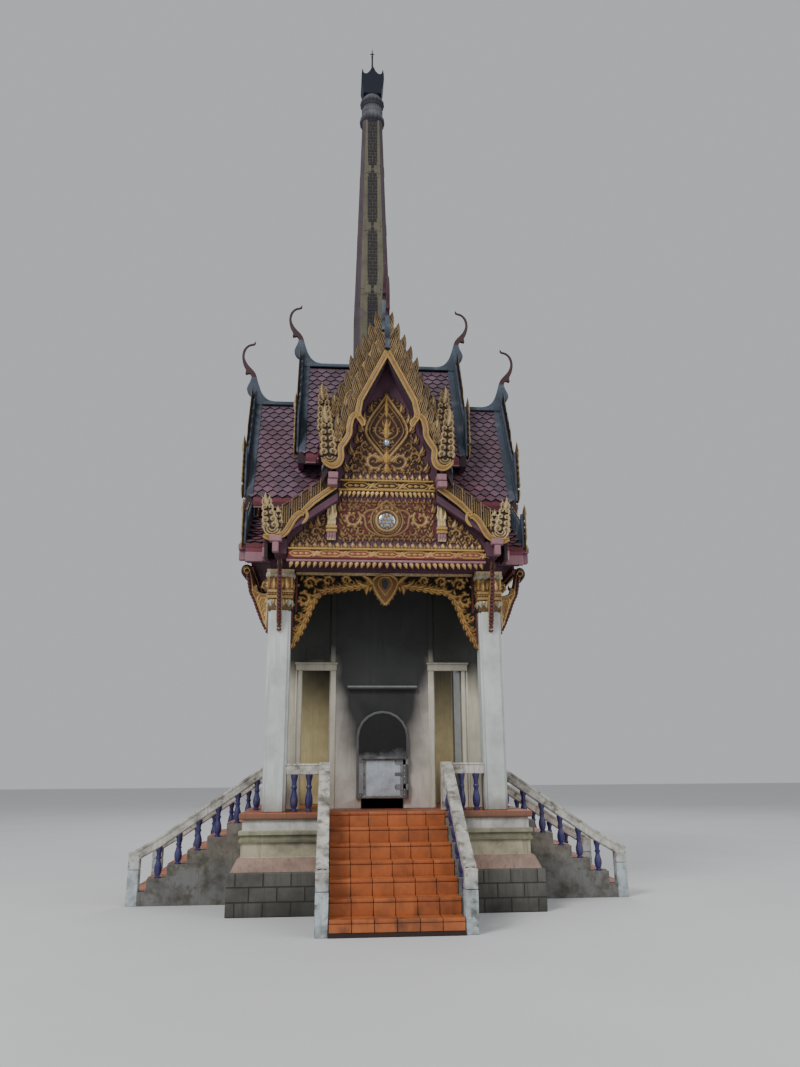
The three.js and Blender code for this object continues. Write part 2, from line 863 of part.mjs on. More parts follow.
// Metal crown with pointed corners, a peak on each face, and a thin rod on a cross bar
function crown() {
  const shell = openTower(
    [
      [215, COLLAR_TOP],
      [298, COLLAR_TOP + 560],
      [262, CAP_PEAK],
    ],
    FLUE_HALF,
  );
  const above = [
    [-400, CAP_PEAK + 20],
    [-400, CAP_TOP],
    [-262, CAP_TOP],
    [-185, CAP_TOP - 100],
    [0, CAP_PEAK],
    [185, CAP_TOP - 100],
    [262, CAP_TOP],
    [400, CAP_TOP],
    [400, CAP_PEAK + 20],
  ];
  const edges = [0, 1, 2, 3].map((k) => elevation(above, -400, -FLUE_HALF).rotateZ(k * QUARTER));
  const barLow = CAP_TOP - 420;
  const bar = slab(-FLUE_HALF - 20, FLUE_HALF + 20, -20, 20, barLow, barLow + 60);
  const rod = lathe(
    [
      [0, barLow],
      [25, barLow],
      [22, ROD_TOP - 90],
      [4, ROD_TOP],
      [0, ROD_TOP],
    ],
    ROD_SIDES,
  );
  const tiny = slab(-52, 52, -8, 8, ROD_TOP - 100, ROD_TOP - 76);
  return joined([joined([shell], edges), bar, rod, tiny]);
}
add("chimney_cap", behind(crown()), darkMetal);

// An opening with a round head: half width, sill, spring line
function archLine(half, low, spring, steps = 10) {
  const points = [
    [-half, low],
    [half, low],
  ];
  for (let i = 0; i <= steps; i++) {
    const a = (Math.PI * i) / steps;
    points.push([half * Math.cos(a), spring + half * Math.sin(a)]);
  }
  return points;
}

// Furnace: front wall with its mouth and ash slot, and the body behind with chamber and flue
const wallTop = CEILING_Z - GAP;
const wallLow = FLOOR_Z + GAP;
const frontBack = FRONT_THICK - HALL_FRONT;
const rearFace = HALL_REAR - GAP;
const wallLine = [
  [0, wallLow],
  [ceilingHalf, wallLow],
  [ceilingHalf, CAPITAL_Z - GAP],
  [COLUMN_CENTRE - CAPITAL_HALF - GAP, CAPITAL_Z - GAP],
  [COLUMN_CENTRE - CAPITAL_HALF - GAP, BEAM_Z - GAP],
  [0, BEAM_Z - GAP],
];
// The way of the smoke through the back of the furnace, the rear wall and the duct
const way = (y0, y1) => slab(-FLUE_HALF, FLUE_HALF, y0, y1, WAY_LOW, WAY_HIGH);
add(
  "furnace_front",
  joined(
    [
      slab(-FURNACE_HALF, FURNACE_HALF, -HALL_FRONT, frontBack, wallLow, wallTop),
      slab(-590, 590, -HALL_FRONT - 70, -HALL_FRONT + 10, 3330, 3390),
    ],
    [
      elevation(archLine(MOUTH_HALF, MOUTH_LOW, MOUTH_SPRING), -1200, 0),
      slab(-SLOT_HALF, SLOT_HALF, -1200, 0, 1300, SLOT_TOP),
    ],
  ),
  plaster,
);
add(
  "furnace_body",
  joined(
    [slab(-FURNACE_HALF, FURNACE_HALF, frontBack + GAP, rearFace, wallLow, wallTop)],
    [
      elevation(archLine(CHAMBER_HALF, MOUTH_LOW, MOUTH_SPRING), -1200, CHAMBER_END),
      slab(-SLOT_HALF, SLOT_HALF, -1200, SLOT_END, 1300, SLOT_TOP),
      way(CHAMBER_END - 10, HALL_REAR),
    ],
  ),
  soot,
);
add(
  "rear_wall",
  joined(
    [elevation(mirrored(wallLine), HALL_REAR, HALL_REAR + WALL_THICK)],
    [way(HALL_REAR - 10, HALL_REAR + WALL_THICK + 10)],
  ),
  plaster,
);

// Flue duct: a low masonry run from the rear wall to the chimney's pedestal
const ductLow = HALL_REAR + WALL_THICK + GAP;
const ductEnd = CHIMNEY_Y - PEDESTAL_HALF - GAP;
add(
  "flue_duct",
  joined(
    [
      slab(-DUCT_HALF, DUCT_HALF, ductLow, ductEnd, wallLow, DUCT_TOP),
      slab(-DUCT_HALF - 40, DUCT_HALF + 40, ductLow, ductEnd, DUCT_TOP - 1, DUCT_TOP + DUCT_CAP),
    ],
    [way(ductLow - 10, ductEnd + 10)],
  ),
  plaster,
);

// Screen walls beside the furnace front: a pier and a head over each doorway
const screenIn = FURNACE_HALF + GAP;
const screen = [
  [WALL_END, wallLow],
  [WALL_END, BEAM_Z - GAP],
  [ceilingHalf, BEAM_Z - GAP],
  [ceilingHalf, wallTop],
  [screenIn, wallTop],
  [screenIn, DOORWAY_TOP],
  [DOORWAY_OUT, DOORWAY_TOP],
  [DOORWAY_OUT, wallLow],
];
for (const [side, s] of [
  ["left", -1],
  ["right", 1],
]) {
  const points = screen.map(([x, z]) => [s * x, z]);
  add(side + "_screen_wall", elevation(points, -HALL_FRONT, WALL_THICK - HALL_FRONT), plaster);
}

// Steel frame round the furnace mouth, with the hinge lugs and pins
const frameFace = -HALL_FRONT - GAP - FRAME_THICK;
const leafBack = frameFace - RUN;
const leafFront = leafBack - LEAF_THICK;
const hingeY = (leafBack + leafFront) / 2;

function post(radius, x, y, z0, z1) {
  const profile = [
    [0, z0],
    [radius, z0],
    [radius, z1],
    [0, z1],
  ];
  return lathe(profile, 12).translate(x, y, 0);
}

function doorFrame() {
  const pieces = [
    elevation(archLine(FRAME_HALF, SLOT_TOP + 5, MOUTH_SPRING), frameFace, -HALL_FRONT - GAP),
  ];
  const cuts = [elevation(archLine(MOUTH_HALF, MOUTH_LOW, MOUTH_SPRING), -1200, -800)];
  for (const z of HINGE_HEIGHTS) {
    const half = BARREL_TALL / 2;
    for (const s of [-1, 1]) {
      const z0 = z + s * (half + HINGE_PLAY) - (s < 0 ? LUG_THICK : 0);
      pieces.push(
        slab(HINGE_X - 13, HINGE_X + 14, hingeY - 20, frameFace + 10, z0, z0 + LUG_THICK),
      );
    }
    pieces.push(post(PIN_RADIUS, HINGE_X, hingeY, z - half - 20, z + half + 20));
  }
  return joined(pieces, cuts);
}
add("furnace_door_frame", doorFrame(), steel);

// Door leaf with its barrels, cross straps and latch bar
function doorLeaf() {
  const spring = MOUTH_SPRING;
  const leaf = elevation(archLine(LEAF_HALF, SLOT_TOP + 15, spring), leafFront, leafBack);
  const strapX = LEAF_HALF - 180;
  const pieces = [
    leaf,
    slab(-340, 340, leafFront - 60, leafFront + 5, 2190, 2225),
    slab(-LEAF_HALF + 5, -LEAF_HALF + 75, leafFront - 30, leafFront + 5, 1640, 2120),
  ];
  const cuts = [];
  for (const z of HINGE_HEIGHTS) {
    const half = BARREL_TALL / 2;
    pieces.push(slab(strapX, HINGE_X, leafFront - 12, leafFront + 5, z - 45, z + 45));
    pieces.push(post(HINGE_RADIUS, HINGE_X, hingeY, z - half, z + half));
    cuts.push(post(BORE_RADIUS, HINGE_X, hingeY, z - half - 5, z + half + 5));
    for (const s of [-1, 1]) {
      const z0 = z + s * (half + 17);
      cuts.push(
        slab(HINGE_X - 28, HINGE_X + 40, hingeY - 40, hingeY + 40, z0 - 17, z0 + 17),
      );
    }
  }
  return joined(pieces, cuts);
}
add("furnace_door", doorLeaf(), steel);

export default part;
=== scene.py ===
from cmath import phase, rect
from math import atan2, ceil, cos, degrees, hypot, pi, radians, sin

import bmesh
import bpy
from bpy.props import FloatProperty, FloatVectorProperty, IntProperty, PointerProperty
from mathutils import Matrix, Vector


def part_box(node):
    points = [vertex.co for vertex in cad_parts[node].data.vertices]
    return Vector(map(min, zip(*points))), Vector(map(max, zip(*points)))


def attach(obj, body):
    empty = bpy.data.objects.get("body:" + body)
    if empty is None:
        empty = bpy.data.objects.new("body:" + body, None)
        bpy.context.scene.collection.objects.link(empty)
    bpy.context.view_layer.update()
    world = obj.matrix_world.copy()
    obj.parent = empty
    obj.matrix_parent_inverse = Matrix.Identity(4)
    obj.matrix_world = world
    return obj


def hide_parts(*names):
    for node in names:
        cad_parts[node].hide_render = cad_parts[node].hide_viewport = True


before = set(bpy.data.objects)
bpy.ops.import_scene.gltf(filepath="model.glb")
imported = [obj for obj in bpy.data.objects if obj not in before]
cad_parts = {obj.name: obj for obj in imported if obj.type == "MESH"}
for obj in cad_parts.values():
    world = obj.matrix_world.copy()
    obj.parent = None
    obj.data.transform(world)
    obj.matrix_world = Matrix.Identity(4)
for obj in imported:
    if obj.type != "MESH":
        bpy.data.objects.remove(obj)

bl_info = {
    "name": "Thai crematorium shrine",
    "version": (1, 0, 0),
    "blender": (4, 5, 0),
    "location": "View3D > Sidebar > Shrine",
    "description": "Roof tiles, carving, turned balusters and finishes of a village crematorium",
    "category": "Add Mesh",
}

# The four sides and corners, with their turn about the vertical axis from the front one
SIDES = {"front": 0, "right": 90, "rear": 180, "left": -90}
CORNERS = {"front_left": 0, "front_right": 90, "rear_right": 180, "rear_left": -90}
STAIRS = ("front", "right", "left")

# Heights and distances read from the frame
FLOOR_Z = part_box("floor")[1].z
STAIR_FOOT = -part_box("front_steps")[0].y
STAIR_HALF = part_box("front_steps")[1].x
RISERS = 7
RISER = FLOOR_Z / RISERS
TREAD = 0.3
PLATFORM_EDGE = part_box("floor")[1].x
CHEEK = 0.17
COLUMN_CENTRE = 1.72
COLUMN_HALF = 0.18
CAPITAL_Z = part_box("front_left_column")[1].z
BEAM_Z = 5.18
BOARD_THICK = 0.08
CHOFA_HALF = 0.045
VERGE_WIDE = 0.22
VERGE_TALL = 0.09
RIDGE_TALL = 0.08
CHIMNEY_Y = 3.3
SHAFT_BEND = 12.8
SHAFT_HALF = 0.425
SHAFT_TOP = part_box("chimney_shaft")[1].z
SHAFT_TOP_HALF = 0.255
COLLAR_Z = 18.64
FACE_TOP = COLLAR_Z + 0.06
CROWN_Z = 19.58

# Steep roofs: the face of the tiles from eave to ridge, and how far each tier reaches
LOWER_ROOF = [(1.08, 6.70), (0.53, 7.83), (0.0, 8.95)]
UPPER_ROOF = [(1.15, 7.52), (0.53, 8.69), (0.0, 9.81)]
LOWER_REACH = -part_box("front_roof")[0].y
LOWER_START = 0.7
UPPER_REACH = 1.53

# Skirt roof: a lower cross gable under the steep roofs
SKIRT_IN = 0.85
SKIRT_OUT = 1.97
SKIRT_REACH = 2.3
SKIRT_TOP = 6.402
SKIRT_FALL = 0.707


def skirt_top(across):
    return SKIRT_TOP - SKIRT_FALL * (across - SKIRT_IN)


def roof_height(line, across):
    for (x0, z0), (x1, z1) in zip(line, line[1:]):
        if x1 <= across <= x0:
            return z1 + (z0 - z1) * (across - x1) / (x0 - x1)
    return line[0][1]


def tint(red, green, blue):
    """A linear colour from the three display values of 0 to 255."""
    def linear(value):
        share = value / 255
        return share / 12.92 if share <= 0.04045 else ((share + 0.055) / 1.055) ** 2.4
    return (linear(red), linear(green), linear(blue))


# Sizes and colours that a user would change

class ShrineSizes(bpy.types.PropertyGroup):
    tile_width: FloatProperty(
        name="Roof tile width", description="Width of one scale of the roof",
        default=0.18, min=0.1, subtype="DISTANCE", unit="LENGTH")
    tile_row: FloatProperty(
        name="Roof tile row", description="Height of one course along the slope",
        default=0.126, min=0.08, subtype="DISTANCE", unit="LENGTH")
    step_tile: FloatProperty(
        name="Step tile", description="Width of one tile of the steps",
        default=0.3, min=0.1, subtype="DISTANCE", unit="LENGTH")
    vent_row: FloatProperty(
        name="Vent row", description="Height of one course of the vent blocks on the chimney",
        default=0.1, min=0.04, subtype="DISTANCE", unit="LENGTH")
    teeth: IntProperty(
        name="Teeth", description="Flame teeth on each side of a steep bargeboard",
        default=8, min=3)


class ShrineColours(bpy.types.PropertyGroup):
    plaster: FloatVectorProperty(
        name="Plaster", description="Lime-washed columns and walls",
        default=tint(198, 205, 200), subtype="COLOR", min=0, max=1)
    gold: FloatVectorProperty(
        name="Gold", description="Gold paint on the carving",
        default=tint(190, 154, 84), subtype="COLOR", min=0, max=1)
    roof: FloatVectorProperty(
        name="Roof tile", description="Glazed scales of the roof",
        default=tint(106, 84, 98), subtype="COLOR", min=0, max=1)
    terracotta: FloatVectorProperty(
        name="Terracotta", description="Tiles of the steps",
        default=tint(170, 92, 46), subtype="COLOR", min=0, max=1)
    slate: FloatVectorProperty(
        name="Slate", description="Cement verges, ridges and finials",
        default=tint(68, 78, 92), subtype="COLOR", min=0, max=1)
    fascia: FloatVectorProperty(
        name="Fascia", description="Faded red paint of the eaves",
        default=tint(122, 54, 68), subtype="COLOR", min=0, max=1)
    violet: FloatVectorProperty(
        name="Violet", description="Glaze of the turned balusters",
        default=tint(40, 38, 98), subtype="COLOR", min=0, max=1)
    dado: FloatVectorProperty(
        name="Dado", description="Painted render of the platform",
        default=tint(168, 160, 132), subtype="COLOR", min=0, max=1)


# Node helpers

def node(tree, kind, settings=None, inputs=None):
    made = tree.nodes.new(kind)
    for name, value in (settings or {}).items():
        setattr(made, name, value)
    for name, value in (inputs or {}).items():
        socket = made.inputs[name]
        if isinstance(value, bpy.types.NodeSocket):
            tree.links.new(value, socket)
        elif socket.type == "RGBA" and len(value) == 3:
            socket.default_value = (*value, 1)
        else:
            socket.default_value = value
    return made


def maths(tree, operation, *values):
    made = node(tree, "ShaderNodeMath", {"operation": operation, "use_clamp": False})
    for socket, value in zip(made.inputs, values):
        if isinstance(value, bpy.types.NodeSocket):
            tree.links.new(value, socket)
        else:
            socket.default_value = value
    return made.outputs[0]


def mixed(tree, factor, first, second, blend="MIX"):
    """The colour between two colours."""
    made = node(tree, "ShaderNodeMix", {"data_type": "RGBA", "blend_type": blend})
    for index, value in ((0, factor), (6, first), (7, second)):
        socket = made.inputs[index]
        if isinstance(value, bpy.types.NodeSocket):
            tree.links.new(value, socket)
        elif index:
            socket.default_value = (*value[:3], 1)
        else:
            socket.default_value = value
    return made.outputs[2]


def fade(tree, value, low, high, to_low=0.0, to_high=1.0):
    made = node(tree, "ShaderNodeMapRange", None, {
        "Value": value, "From Min": low, "From Max": high, "To Min": to_low, "To Max": to_high})
    return made.outputs["Result"]


def noise(tree, place, scale, detail=4.0, roughness=0.55, stretch=None, shift=(0, 0, 0)):
    if stretch:
        place = node(tree, "ShaderNodeMapping", None, {
            "Vector": place, "Scale": stretch, "Location": shift}).outputs[0]
    made = node(tree, "ShaderNodeTexNoise", None, {
        "Vector": place, "Scale": scale, "Detail": detail, "Roughness": roughness})
    return made.outputs[0]


def new_group(name, inputs, outputs):
    tree = bpy.data.node_groups.new(name, "ShaderNodeTree")
    for label, kind, value in inputs:
        socket = tree.interface.new_socket(label, in_out="INPUT", socket_type=kind)
        if kind == "NodeSocketColor":
            socket.default_value = (*value, 1)
        elif kind == "NodeSocketFloat":
            socket.default_value = value
    for label, kind in outputs:
        tree.interface.new_socket(label, in_out="OUTPUT", socket_type=kind)
    return tree, tree.nodes.new("NodeGroupInput").outputs, tree.nodes.new("NodeGroupOutput").inputs


def weather_group():
    """Blotches and rain streaks over a paint, with the height of a grainy surface."""
    tree, given, result = new_group(
        "shrine weather",
        [("Place", "NodeSocketVector", None), ("Paint", "NodeSocketColor", (0.5, 0.5, 0.5)),
         ("Dirt", "NodeSocketColor", (0.1, 0.1, 0.1)), ("Amount", "NodeSocketFloat", 0.5),
         ("Streaks", "NodeSocketFloat", 0.5), ("Size", "NodeSocketFloat", 1.0)],
        [("Colour", "NodeSocketColor"), ("Mask", "NodeSocketFloat"), ("Height", "NodeSocketFloat")])
    sized = node(tree, "ShaderNodeVectorMath", {"operation": "SCALE"}, {
        0: given["Place"], "Scale": given["Size"]}).outputs[0]
    blotch = fade(tree, noise(tree, sized, 1.7, 6, 0.62), 0.42, 0.72)
    streak = fade(tree, noise(tree, sized, 1.0, 4, 0.6, (14, 14, 0.9)), 0.47, 0.75)
    speck = fade(tree, noise(tree, sized, 38, 3, 0.7), 0.56, 0.74)
    dirty = maths(tree, "MULTIPLY", blotch, given["Amount"])
    runs = maths(tree, "MULTIPLY", streak, given["Streaks"])
    mask = maths(tree, "ADD", maths(tree, "MAXIMUM", dirty, runs),
                 maths(tree, "MULTIPLY", speck, maths(tree, "MULTIPLY", given["Amount"], 0.35)))
    mask = fade(tree, mask, 0.0, 1.0)
    shade = fade(tree, noise(tree, sized, 0.55, 3), 0.3, 0.7, 0.88, 1.08)
    varied = node(tree, "ShaderNodeVectorMath", {"operation": "SCALE"}, {
        0: given["Paint"], "Scale": shade}).outputs[0]
    tree.links.new(mixed(tree, mask, varied, given["Dirt"]), result["Colour"])
    tree.links.new(mask, result["Mask"])
    grain = noise(tree, sized, 60, 4, 0.7)
    lumps = noise(tree, sized, 6, 3, 0.5)
    height = maths(tree, "ADD", maths(tree, "MULTIPLY", grain, 0.35), lumps)
    tree.links.new(maths(tree, "SUBTRACT", height, maths(tree, "MULTIPLY", mask, 0.3)), result["Height"])
    return tree


def rising_group():
    """How near a point is to a level, with a ragged edge: 1 under the level and 0 over it."""
    tree, given, result = new_group(
        "shrine rising damp",
        [("Place", "NodeSocketVector", None), ("Level", "NodeSocketFloat", 0.5),
         ("Soft", "NodeSocketFloat", 0.3), ("Ragged", "NodeSocketFloat", 0.3)],
        [("Mask", "NodeSocketFloat")])
    height = node(tree, "ShaderNodeSeparateXYZ", None, {0: given["Place"]}).outputs["Z"]
    rough = maths(tree, "MULTIPLY", fade(tree, noise(tree, given["Place"], 3.5, 5, 0.6), 0, 1, -1, 1),
                  given["Ragged"])
    above = maths(tree, "SUBTRACT", maths(tree, "ADD", height, rough), given["Level"])
    share = maths(tree, "DIVIDE", above, given["Soft"])
    tree.links.new(fade(tree, share, -0.5, 0.5, 1, 0), result["Mask"])
    return tree


GROUPS = {}


def shared(tree, name, inputs):
    """A node of one of the shared effects."""
    if not GROUPS:
        GROUPS.update(weather=weather_group(), rising=rising_group())
    made = node(tree, "ShaderNodeGroup", {"node_tree": GROUPS[name]})
    for label, value in inputs.items():
        socket = made.inputs[label]
        if isinstance(value, bpy.types.NodeSocket):
            tree.links.new(value, socket)
        elif socket.type == "RGBA":
            socket.default_value = (*value[:3], 1)
        else:
            socket.default_value = value
    return made.outputs


def new_material(name, metallic=0.0, specular=0.5):
    """An empty material with its tree, its surface shader and its place."""
    material = bpy.data.materials.new(name)
    material.use_nodes = True
    tree = material.node_tree
    surface = tree.nodes["Principled BSDF"]
    surface.inputs["Metallic"].default_value = metallic
    surface.inputs["Specular IOR Level"].default_value = specular
    place = node(tree, "ShaderNodeTexCoord").outputs["Object"]
    return material, tree, surface, place


def finish(tree, surface, colour, roughness, height=None, strength=0.3, distance=0.01):
    tree.links.new(colour, surface.inputs["Base Color"])
    if isinstance(roughness, bpy.types.NodeSocket):
        tree.links.new(roughness, surface.inputs["Roughness"])
    else:
        surface.inputs["Roughness"].default_value = roughness
    if height is not None:
        bump = node(tree, "ShaderNodeBump", None, {
            "Height": height, "Strength": strength, "Distance": distance})
        tree.links.new(bump.outputs[0], surface.inputs["Normal"])


def height_of(tree, place):
    return node(tree, "ShaderNodeSeparateXYZ", None, {0: place}).outputs["Z"]


# Finishes

def plaster_finish(name, colour, dirt, amount=0.4, streaks=0.35, base_level=1.5):
    """Lime-washed plaster, weather-stained, and darker and greyer where it meets the floor."""
    material, tree, surface, place = new_material(name)
    aged = shared(tree, "weather", {
        "Place": place, "Paint": colour, "Dirt": dirt, "Amount": amount, "Streaks": streaks, "Size": 1.3})
    low = shared(tree, "rising", {"Place": place, "Level": base_level, "Soft": 0.35, "Ragged": 0.25})
    stained = mixed(tree, maths(tree, "MULTIPLY", low["Mask"], 0.6), aged["Colour"], tint(96, 92, 84))
    finish(tree, surface, stained, fade(tree, aged["Mask"], 0, 1, 0.78, 0.95), aged["Height"], 0.35, 0.004)
    return material


def soot_and_shade_finish(name, colour, low, high, plume=False):
    """Plaster blackened between two levels by soot and painted shade, and over the furnace mouth by soot where asked.
    """
    material, tree, surface, place = new_material(name)
    aged = shared(tree, "weather", {
        "Place": place, "Paint": colour, "Dirt": tint(104, 96, 82), "Amount": 0.45, "Streaks": 0.45, "Size": 1.2})
    axes = node(tree, "ShaderNodeSeparateXYZ", None, {0: place}).outputs
    cloud = fade(tree, noise(tree, place, 1.3, 2, 0.5), 0.2, 0.8, -0.2, 0.2)
    soot_and_shade = fade(tree, maths(tree, "ADD", axes["Z"], cloud), low, high)
    if plume:
        wide = maths(tree, "ADD", maths(tree, "ABSOLUTE", axes["X"]), maths(tree, "MULTIPLY", cloud, 0.6))
        reach = fade(tree, axes["Z"], 1.9, 3.9, 0.47, 1.0)
        edge = fade(tree, maths(tree, "SUBTRACT", wide, reach), -0.26, 0.2, 1, 0)
        start = fade(tree, maths(tree, "ADD", axes["Z"], cloud), 1.65, 2.35)
        soot_and_shade = maths(tree, "MAXIMUM", maths(tree, "MULTIPLY", edge, start), soot_and_shade)
    # Near-black teal of soot and painted shade, which the upper walls fade into
    colour = mixed(tree, maths(tree, "MULTIPLY", soot_and_shade, 0.94), aged["Colour"], tint(17, 24, 28))
    finish(tree, surface, colour, fade(tree, soot_and_shade, 0, 1, 0.8, 0.96), aged["Height"], 0.35, 0.004)
    return material


def gold_finish(name, colour, shade, ground=tint(58, 30, 22)):
    """Gold paint on carved cement, dark in the hollows with painted shade and bright on the crests with a painted
    highlight.
    """
    material, tree, surface, place = new_material(name, metallic=0.0, specular=0.6)
    crest = node(tree, "ShaderNodeAttribute", {"attribute_name": "relief"}).outputs["Fac"]
    patch = fade(tree, noise(tree, place, 2.2, 5, 0.6), 0.35, 0.7)
    fine = noise(tree, place, 45, 3, 0.7)
    level = maths(tree, "ADD", crest, fade(tree, fine, 0.3, 0.7, -0.16, 0.16))
    body = mixed(tree, patch, colour, shade)
    # Painted shade: where the relief is low, in the hollows, the gold fades to the dark ground colour
    worn = mixed(tree, fade(tree, level, 0.12, 0.62), ground, body)
    # Painted highlight: where the relief is high, on the crests, the gold turns pale
    bright = mixed(tree, fade(tree, level, 0.78, 1.05, 0, 0.75), worn, tint(228, 210, 162))
    soot = shared(tree, "weather", {
        "Place": place, "Paint": bright, "Dirt": tint(60, 48, 36), "Amount": 0.35, "Streaks": 0.25, "Size": 2.0})
    surface.inputs["Metallic"].default_value = 0.35
    finish(tree, surface, soot["Colour"], fade(tree, soot["Mask"], 0, 1, 0.42, 0.8),
           maths(tree, "ADD", fine, soot["Height"]), 0.3, 0.004)
    return material


def scale_finish(colours):
    """Glazed roof scales: each one a little apart in colour, redder towards the eaves."""
    material, tree, surface, place = new_material("roof scales", specular=0.5)
    own = node(tree, "ShaderNodeAttribute", {"attribute_name": "tone"}).outputs["Fac"]
    red = fade(tree, height_of(tree, place), 9.0, 5.9, 0.0, 0.6)
    red = maths(tree, "MULTIPLY", red, fade(tree, noise(tree, place, 1.3, 3), 0.35, 0.65))
    base = mixed(tree, red, colours.roof, tint(134, 68, 80))
    toned = node(tree, "ShaderNodeVectorMath", {"operation": "SCALE"}, {
        0: base, "Scale": fade(tree, own, 0, 1, 0.72, 1.2)}).outputs[0]
    aged = shared(tree, "weather", {
        "Place": place, "Paint": toned, "Dirt": tint(46, 42, 44), "Amount": 0.45, "Streaks": 0.2, "Size": 1.6})
    finish(tree, surface, aged["Colour"], fade(tree, aged["Mask"], 0, 1, 0.42, 0.75), aged["Height"], 0.2, 0.004)
    return material


def slate_finish(colours):
    """Grey-green cement of verges, ridges and finials."""
    material, tree, surface, place = new_material("slate cement")
    aged = shared(tree, "weather", {
        "Place": place, "Paint": colours.slate, "Dirt": tint(40, 48, 48), "Amount": 0.7, "Streaks": 0.5,
        "Size": 1.8})
    pale = fade(tree, noise(tree, place, 2.6, 4, 0.6), 0.55, 0.72)
    colour = mixed(tree, maths(tree, "MULTIPLY", pale, 0.4), aged["Colour"], tint(140, 138, 140))
    finish(tree, surface, colour, 0.8, aged["Height"], 0.4, 0.006)
    return material


def paint_finish(name, colour, dirt, roughness=0.6, amount=0.4, streaks=0.4, size=1.5):
    """Faded paint with stains and rain streaks."""
    material, tree, surface, place = new_material(name)
    aged = shared(tree, "weather", {
        "Place": place, "Paint": colour, "Dirt": dirt, "Amount": amount, "Streaks": streaks, "Size": size})
    finish(tree, surface, aged["Colour"], fade(tree, aged["Mask"], 0, 1, roughness, 0.92),
           aged["Height"], 0.3, 0.004)
    return material


def terracotta_finish(name, colour, shade):
    """Satin clay tiles, each a little apart in colour, with wear and trodden dirt."""
    material, tree, surface, place = new_material(name, specular=0.5)
    own = node(tree, "ShaderNodeAttribute", {"attribute_name": "tone"}).outputs["Fac"]
    base = mixed(tree, fade(tree, own, 0, 1), colour, shade)
    aged = shared(tree, "weather", {
        "Place": place, "Paint": base, "Dirt": tint(96, 56, 36), "Amount": 0.6, "Streaks": 0.3, "Size": 2.2})
    low = fade(tree, height_of(tree, place), 0.9, 0.1, 0.0, 0.7)
    stain = maths(tree, "MULTIPLY", fade(tree, noise(tree, place, 3.4, 5, 0.65, (1, 1, 0.3)), 0.5, 0.68), low)
    colour = mixed(tree, stain, aged["Colour"], tint(58, 40, 32))
    finish(tree, surface, colour, fade(tree, aged["Mask"], 0, 1, 0.38, 0.8), aged["Height"], 0.15, 0.003)
    return material


def mossy_finish(name, colour, blue):
    """Weathered white paint on concrete with moss, lichen and bare grey patches."""
    material, tree, surface, place = new_material(name)
    aged = shared(tree, "weather", {
        "Place": place, "Paint": mixed(tree, fade(tree, height_of(tree, place), 0.75, 0.45), colour, blue),
        "Dirt": tint(64, 60, 52), "Amount": 0.85, "Streaks": 0.5, "Size": 2.4})
    moss = fade(tree, noise(tree, place, 5.5, 6, 0.7), 0.52, 0.64)
    colour = mixed(tree, maths(tree, "MULTIPLY", moss, 0.75), aged["Colour"], tint(78, 74, 58))
    finish(tree, surface, colour, 0.9, aged["Height"], 0.5, 0.008)
    return material


def glaze_finish(colours):
    """Dark violet glaze of the balusters, chipped and dusty."""
    material, tree, surface, place = new_material("violet glaze", specular=0.6)
    aged = shared(tree, "weather", {
        "Place": place, "Paint": colours.violet, "Dirt": tint(110, 104, 100), "Amount": 0.35, "Streaks": 0.15,
        "Size": 3.5})
    finish(tree, surface, aged["Colour"], fade(tree, aged["Mask"], 0, 1, 0.3, 0.85), aged["Height"], 0.2, 0.004)
    return material


def platform_finish(colours):
    """Bands of the platform by height: block plinth, pink ledge, cream dado and stained mouldings."""
    material, tree, surface, place = new_material("platform render")
    height = height_of(tree, place)
    bands = node(tree, "ShaderNodeValToRGB", None, {"Fac": fade(tree, height, 0, 1.4)})
    ramp = bands.color_ramp
    ramp.interpolation = "CONSTANT"
    stops = [
        (0.0, tint(104, 102, 96)), (0.594, tint(158, 132, 118)), (0.777, tint(180, 172, 146)),
        (0.983, tint(132, 130, 106)), (1.09, tint(158, 154, 130)), (1.155, tint(186, 184, 176)),
    ]
    for index, (level, colour) in enumerate(stops):
        stop = ramp.elements[index] if index < 2 else ramp.elements.new(level / 1.4)
        stop.position = level / 1.4
        stop.color = (*colour, 1)
    aged = shared(tree, "weather", {
        "Place": place, "Paint": bands.outputs["Color"], "Dirt": tint(52, 50, 44), "Amount": 0.7,
        "Streaks": 0.55, "Size": 1.4})
    blocks = node(tree, "ShaderNodeTexBrick", {"offset": 0.5}, {
        "Vector": block_place(tree, place), "Scale": 1.0, "Brick Width": 0.4, "Row Height": 0.2,
        "Mortar Size": 0.012, "Mortar Smooth": 0.3, "Color1": (1, 1, 1), "Color2": (0.75, 0.75, 0.75),
        "Mortar": (0.35, 0.35, 0.35)})
    plinth = fade(tree, height, 0.585, 0.595, 1, 0)
    cut = mixed(tree, plinth, (1, 1, 1), blocks.outputs["Color"])
    colour = mixed(tree, 1.0, aged["Colour"], cut, "MULTIPLY")
    # Darker towards the foot: damp staining and painted shade
    damp_and_shade = shared(tree, "rising", {"Place": place, "Level": 0.15, "Soft": 0.5, "Ragged": 0.3})
    colour = mixed(tree, maths(tree, "MULTIPLY", damp_and_shade["Mask"], 0.6), colour, tint(38, 40, 36))
    joint = maths(tree, "MULTIPLY", maths(tree, "MULTIPLY", blocks.outputs["Fac"], plinth), 1.2)
    finish(tree, surface, colour, 0.9, maths(tree, "SUBTRACT", aged["Height"], joint), 0.5, 0.012)
    return material


